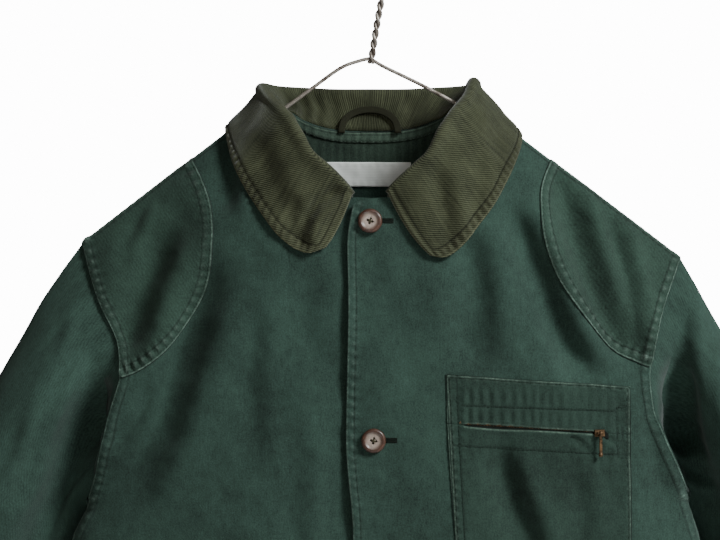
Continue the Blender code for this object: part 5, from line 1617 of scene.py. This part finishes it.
def sew_body():
    body, laid = [], []
    for side in SIDES:
        lines, over = FRONT_LINES[side], patch_lines(side)
        patch_top, patch_low = patch_edge(side)[[0, -1]]

        def on_patch(path):
            laid.append(stitch_row(path, side, PATCH_LIFT - LAID, over))

        for row in ARMHOLE_ROWS:
            path = lines["armhole"].offset(side * row)
            body.append(stitch_row(path[path[:, 1] < patch_low[1] - 1], side))
            on_patch(path[path[:, 1] > patch_low[1] + CROSSING])
            body.append(stitch_row(BACK_LINES[side].offset(side * row)))
        body.append(stitch_row(lines["hem"].offset(side * HEM_BAND), side))
        for row in PATCH_LINES[side].rows:
            path = PATCH_LINES[side].offset(side * row)
            x, z = np.abs(path[:, 0]), path[:, 1]
            inside = x < smooth_through(z, ARMHOLES[side], "front_x") - CROSSING
            on_patch(path[inside & (z < seam_height(path[:, 0]) - CROSSING)])
        shoulder = lines["shoulder"].offset(-side * lines["shoulder"].rows[0])
        out = np.abs(shoulder[:, 0]) > abs(patch_top[0]) + CROSSING
        on_patch(shoulder[out][:-1])
        body.append(stitch_row(shoulder[~out], side))
    body.append(stitch_row(PLACKET.offset(-PLACKET.rows[0]), LEFT))
    body.append(stitch_row(BACK_LINES["hem"].offset(HEM_BAND)))
    keep(stitches("stitches_body", body, THREADS), "canvas")
    keep(stitches("stitches_patches", laid, THREADS), "canvas")
    rows = [[pocket_point(*end) for end in row] for row in POCKET_ROWS]
    rows = [stitch_row(row, LEFT, POCKET_LIFT + 0.1 - LAID, [])
            for row in rows + [BAND_ROW, LOW_ROW, BAR]]
    keep(stitches("stitches_pocket", rows, THREADS), "canvas")


# Radius and height along a button's outline, from its rim's foot round to its sunk middle.
BUTTON_OUTLINE = [(8.6, 0.25), (9.9, 0.9), (10.5, 1.9), (10.35, 2.9), (9.6, 3.7), (8.6, 4.15),
                  (7.7, 4.1), (6.9, 3.6), (6.2, 3.05), (5.0, 2.85), (3.0, 2.75)]
BUTTON_SIDES = 64
HOLE_OUT, HOLE_RADIUS = 2.2, 0.95  # the holes' distance from the middle and their radius
THREAD_OUT, STRAND = 1.55, 0.3  # where the thread goes in, along each axis, and its radius
BAR_PITCH, BAR_HALF, BAR_THREAD = 0.62, 0.95, 0.27  # the buttonhole's sewn edge
HOLE_SPAN = (-3, 20)  # the buttonhole's ends, from the button's middle
STRANDS = (-0.35, 0, 0.35)  # the places of a stitch's strands, across it


def button_pieces():
    """Turned buttons with four holes, their thread, and the bars of their buttonholes."""
    for number, (bx, bz) in enumerate(BUTTONS, 1):
        point, normal, relief = left_point(bx, bz, [PLACKET])
        level = unit(np.cross((0, 0, 1.0), normal))
        upward = np.cross(normal, level)
        seat = point + normal * (SEAM + 0.1 + max(relief, 0) * 0.6)
        turn = radians(20 + 7 * number)
        axis_x = level * cos(turn) + upward * sin(turn)
        axis_y = np.cross(normal, axis_x)
        made = add_mesh(f"button_{number}_horn", *holed_button(), HORN)
        place = np.eye(4)
        place[:3] = np.stack([axis_x, axis_y, normal, seat * MM], axis=1)
        made.matrix_world = Matrix(place.tolist())
        keep(made, "button", f"button_{number}")
        holes = np.array([(-1, -1), (1, 1), (-1, 1), (1, -1)]) * THREAD_OUT
        strands = []
        for a, b in (holes[:2], holes[2:]):
            for shift in STRANDS:
                across = unit(np.array([-(b - a)[1], (b - a)[0]])) * shift
                path = []
                for t in np.linspace(0, 1, 7):
                    x, y = a + (b - a) * t + across
                    height = 1.2 + 2.15 * min(1, 4 * t * (1 - t) * 1.9)
                    path.append(seat + axis_x * x + axis_y * y + normal * height)
                strands.append(sweep(path, circle(STRAND, 6)))
        keep(add_mesh(f"button_{number}_thread", *join(strands), BUTTON_THREADS), "button")
        bars = [bar(x, bz + edge * 1.15 + 0.3)
                for x in np.arange(bx + HOLE_SPAN[0], bx + HOLE_SPAN[1], BAR_PITCH)
                for edge in (-1, 1)]
        keep(add_mesh(f"buttonhole_{number}", *join(bars), DARK_THREADS), "canvas")


def bar(x, z):
    """One turn of thread over a buttonhole's edge."""
    point, normal, relief = left_point(x, z, [PLACKET])
    point = point + normal * (relief + 0.15)
    up = unit(np.cross(np.cross(normal, (0, 0, 1.0)), normal)) * BAR_HALF
    ends = point - up, point + up
    path = [ends[0] - normal * 0.3, ends[0], (ends[0] + ends[1]) / 2 + normal * 0.2,
            ends[1], ends[1] - normal * 0.3]
    return sweep(path, circle(BAR_THREAD, 5))


def holed_button():
    """Points and faces of a lathed button whose flat middle is cut by four round holes."""
    builder = bmesh.new()
    rings = []
    for radius, height in BUTTON_OUTLINE:
        rings.append([builder.verts.new((x, y, height)) for x, y in circle(radius, BUTTON_SIDES)])
    for low, high in zip(rings, rings[1:]):
        for k in range(BUTTON_SIDES):
            n = (k + 1) % BUTTON_SIDES
            builder.faces.new((low[k], low[n], high[n], high[k]))
    builder.faces.new(rings[0][::-1])
    builder.faces.new(rings[-1])
    mesh = bpy.data.meshes.new("button_blank")
    builder.to_mesh(mesh)
    builder.free()
    blank = placed("button_blank", mesh)
    cutters = []
    for k in range(4):
        angle = pi / 4 + k * pi / 2
        x, y = HOLE_OUT * cos(angle), HOLE_OUT * sin(angle)
        points, faces = sweep([(x, y, -1), (x, y, 6)], circle(HOLE_RADIUS, 20))
        cutter_mesh = bpy.data.meshes.new("hole")
        cutter_mesh.from_pydata(points.tolist(), [], np.array(faces).tolist())
        step = blank.modifiers.new("hole", "BOOLEAN")
        cutters.append(placed("hole", cutter_mesh))
        step.object, step.operation, step.solver = cutters[-1], "DIFFERENCE", "EXACT"
    bpy.context.view_layer.update()
    cut = blank.evaluated_get(bpy.context.evaluated_depsgraph_get())
    done = cut.to_mesh()
    done.calc_loop_triangles()
    points = np.array([v.co[:] for v in done.vertices])
    faces = np.array([t.vertices[:] for t in done.loop_triangles])
    cut.to_mesh_clear()
    for thing in [blank, *cutters]:
        data = thing.data
        bpy.data.objects.remove(thing, do_unlink=True)
        bpy.data.meshes.remove(data)
    return points, faces


# ---------------------------------------------------------------- inside the neck
def inside_back(x, z, depth):
    """Points inside the back, depth below its outer face, with normals to the inside."""
    points, normals = with_normals(back_y, x, z, BACK)
    slow = slow_relief(x, z, BACK, BACK_CREASES, BACK_SEED)
    return points + normals * (slow - depth)[..., None], -normals


def strip_piece(name, upper, lower, depth, finish, columns, rows, pucker):
    """A strip inside the back between two lines in the front view."""
    u, v = [trimmed(np.linspace(0, 1, count)) for count in (columns, rows)]
    top, low = evenly(upper, u), evenly(lower, u)
    flat = top[:, None] * (1 - v[None, :, None]) + low[:, None] * v[None, :, None]
    x, z = flat[..., 0], flat[..., 1]
    middle, normals = inside_back(x, z, depth)
    edge = np.minimum(v, 1 - v)[None, :] * np.linalg.norm(top - low, axis=1)[:, None]
    wave = ripple(x, 7.3, 1.2, 17)
    relief = pucker * wave * hump(edge - 2, 3) - 0.25 * hump(edge, 0.8)
    marks = {"edge": edge, "row": edge - 2, "crest": 0.5 + 0.5 * wave}
    return cloth(name, middle, normals, relief, INNER_CLOTH, finish, (x, z), marks)


def neck_arc(half_width, drop):
    x = np.linspace(-half_width, half_width, 60)
    return np.stack([x, back_neckline(np.abs(x)) - drop], axis=1)


FACING_DEPTH = CANVAS + SEAM + INNER_CLOTH  # from the back's outer face to the facing's
TAPE_DEPTH = FACING_DEPTH + INNER_CLOTH + SEAM


def neck_pieces():
    low = curve_through(FACING[1:-1], 8)
    facing = strip_piece("neck_facing_cloth", neck_arc(78, 0.5), low, FACING_DEPTH, SHADED_FACING_CANVAS,
                         100, 31, 0.35)
    keep(facing, "canvas", "neck_facing")
    tape = strip_piece("neck_tape_cloth", neck_arc(79, 0.6), neck_arc(79, TAPE_HEIGHT),
                       TAPE_DEPTH, TAPE_CANVAS, 112, 10, 0.3)
    keep(tape, "canvas", "neck_tape")
    corners = np.array(LABEL_CORNERS, float)
    label = strip_piece("neck_label_cloth", corners[:2], corners[:1:-1], TAPE_DEPTH, LABEL,
                        61, 19, 0.15)
    keep(label, "label", "neck_label")
    rows = []
    for path, depth in ((neck_arc(77, TAPE_HEIGHT - 1.3), TAPE_DEPTH),
                        (low * (0.965, 1) + (0, 3.2), FACING_DEPTH)):
        x, z = resample(path, ROW_SPACING).T
        rows.append(inside_back(x, z, depth))
    keep(stitches("stitches_neck", rows, DARK_THREADS), "canvas")
    path = []
    for angle in np.radians(np.arange(0, 181, 4)):
        rise = LOOP_RISE * abs(sin(angle)) ** 0.8
        path.append((-LOOP_SPAN / 2 * cos(angle), LOOP_FOOT[0] + LOOP_LEAN * rise,
                     LOOP_FOOT[1] + rise))
    strap = [[half * np.sign(share) * abs(share) ** 0.5 for half, share in zip(LOOP_HALF, corner)]
             for corner in circle(1, 16)]
    loop = add_mesh("hanging_loop_cloth", *sweep(path, strap), LOOP_CLOTH)
    keep(loop, "canvas", "hanging_loop")


# ---------------------------------------------------------------- hanger
def hanger_side(side):
    arm = curve_through(ARM_STARTS[side], 6)
    end_z = float(seam_height(side * HANGER_END_X)) - WIRE_BELOW_SEAM
    end = np.array([HANGER_END_X, end_z])
    way = unit(end - arm[-1])
    corner = end + HANGER_CORNER * np.array([way[1], -way[0]])
    turns = np.linspace(np.arctan2(way[0], -way[1]), -pi / 2, 15)
    bend = [corner + HANGER_CORNER * np.array([cos(a), sin(a)]) for a in turns]
    return [(side * x, z) for x, z in list(arm) + bend]


def hanger_piece():
    """The hook's wire and the other end twist round each other down to the arms."""
    centre = HOOK + WIRE
    start = radians(-20)
    foot = np.array(NECK_FOOT, float)
    join_at = np.array([centre * cos(start), centre * sin(start) - HOOK])
    neck = bezier(foot, foot + (4.2, 30), join_at - (8.5, 23.5), join_at,
                  np.linspace(0, 1, 90)[:, None])
    arc = [(centre * cos(a), centre * sin(a) - HOOK) for a in np.radians(np.arange(-12, 206, 7))]
    line = np.array([(x, 0, z) for x, z in list(neck) + arc])
    along = unit(np.gradient(line, axis=0))
    across = unit(np.cross(along, (0, 1, 0)))
    strands = []
    for phase in (0, pi):
        path = []
        for i, (point, side_way) in enumerate(zip(line, across)):
            single = float(eased((point[2] - TWIST_TOP) / 10)) if i < len(neck) else 1.0
            if phase and single > 0.75:
                break
            angle = 2 * pi * (point[2] - NECK_FOOT[1]) / TWIST_PITCH + phase
            reach = WIRE * (1 - single) * 0.98
            path.append(point + reach * (cos(angle) * side_way + sin(angle) * np.array([0, 1, 0])))
        strands.append(sweep(path, circle(WIRE, 14)))
    route = [(x, 0, z) for x, z in hanger_side(RIGHT) + hanger_side(LEFT)[::-1]]
    strands.append(sweep(route, circle(WIRE, 14)))
    keep(add_mesh("hanger_wire_steel", *join(strands), STEEL), "hanger_steel", "hanger_wire")


# ---------------------------------------------------------------- everything
fronts = {side: front_piece(side) for side in SIDES}
back = back_piece()
cuffs = {side: sleeve_piece(side, fronts[side], back[side]) for side in SIDES}
for side in SIDES:
    patch_piece(side)
collar_row = collar_piece()
pocket_piece()
zip_pieces()
sew_body()
keep(stitches("stitches_collar", [collar_row], CORD_THREADS), "corduroy")
keep(stitches("stitches_cuffs", list(cuffs.values()), THREADS), "canvas")
button_pieces()
neck_pieces()
hanger_piece()
for name in ("zip_slider", "zip_pull"):
    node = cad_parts[name]
    node.data.materials.clear()
    node.data.materials.append(BRASS)

# ---------------------------------------------------------------- stage, light and camera
CAMERA_PLACE = (-0.0086, -2.2, -0.3026)
PIXELS_DEEP, PIXELS_WIDE = 2506.3, 720  # focal length and frame in pixels
SENSOR = 36

FLOOR_Z, FLOOR_HALF = -1.25, 3.0
floor_mesh = bpy.data.meshes.new("floor")
floor_mesh.from_pydata([(a * FLOOR_HALF, b * FLOOR_HALF, FLOOR_Z)
                        for a, b in ((-1, -1), (1, -1), (1, 1), (-1, 1))], [], [(0, 1, 2, 3)])
floor_look = Graph("floor_pale")
floor_look.constant(Base_Color=(0.82, 0.82, 0.82, 1), Roughness=0.8)
floor_mesh.materials.append(floor_look.made)
floor = placed("floor", floor_mesh)


def add_light(kind, name, place, target, power, **settings):
    data = bpy.data.lights.new(name, kind)
    data.energy = power
    for key, value in settings.items():
        setattr(data, key, value)
    lamp = placed(name, data)
    lamp.location = place
    lamp.rotation_euler = (Vector(target) - Vector(place)).to_track_quat("-Z", "Y").to_euler()


CHEST = (0, 0, -0.45)
for name, place, power, size, colour in (
    ("key", (2.25, -1.95, 1.65), 150, 1.2, (0.93, 1.0, 0.995)),
    ("fill", (-1.5, -2.6, 0.1), 6, 1.8, (1.0, 0.94, 0.82)),
    ("behind", (0.9, 3.2, -0.5), 45, 1.6, (1.0, 0.98, 0.94)),
):
    add_light("AREA", name, place, CHEST, power, shape="DISK", size=size, color=colour)
add_light("SPOT", "neck", (0.1, -1.9, 0.0), (-0.002, 0.04, -0.221), 62, shadow_soft_size=0.1,
          spot_size=radians(3.2), spot_blend=1.0)

world = bpy.data.worlds.new("studio")
bpy.context.scene.world = world
world.use_nodes = True
nodes, links = world.node_tree.nodes, world.node_tree.links
background = nodes["Background"]
seen, lit = (14, 14, 14, 1), (0.075, 0.073, 0.069, 1)  # by the camera, and by what it lights
path_node = nodes.new("ShaderNodeLightPath")
choose = nodes.new("ShaderNodeMix")
choose.data_type = "RGBA"
choose.inputs[6].default_value, choose.inputs[7].default_value = lit, seen
links.new(path_node.outputs["Is Camera Ray"], choose.inputs[0])
links.new(choose.outputs[2], background.inputs["Color"])

camera_data = bpy.data.cameras.new("camera")
camera_data.sensor_width = SENSOR
camera_data.lens = PIXELS_DEEP * SENSOR / PIXELS_WIDE
camera = placed("camera", camera_data)
camera.location = CAMERA_PLACE
camera.rotation_euler = (pi / 2, 0, 0)
bpy.context.scene.camera = camera
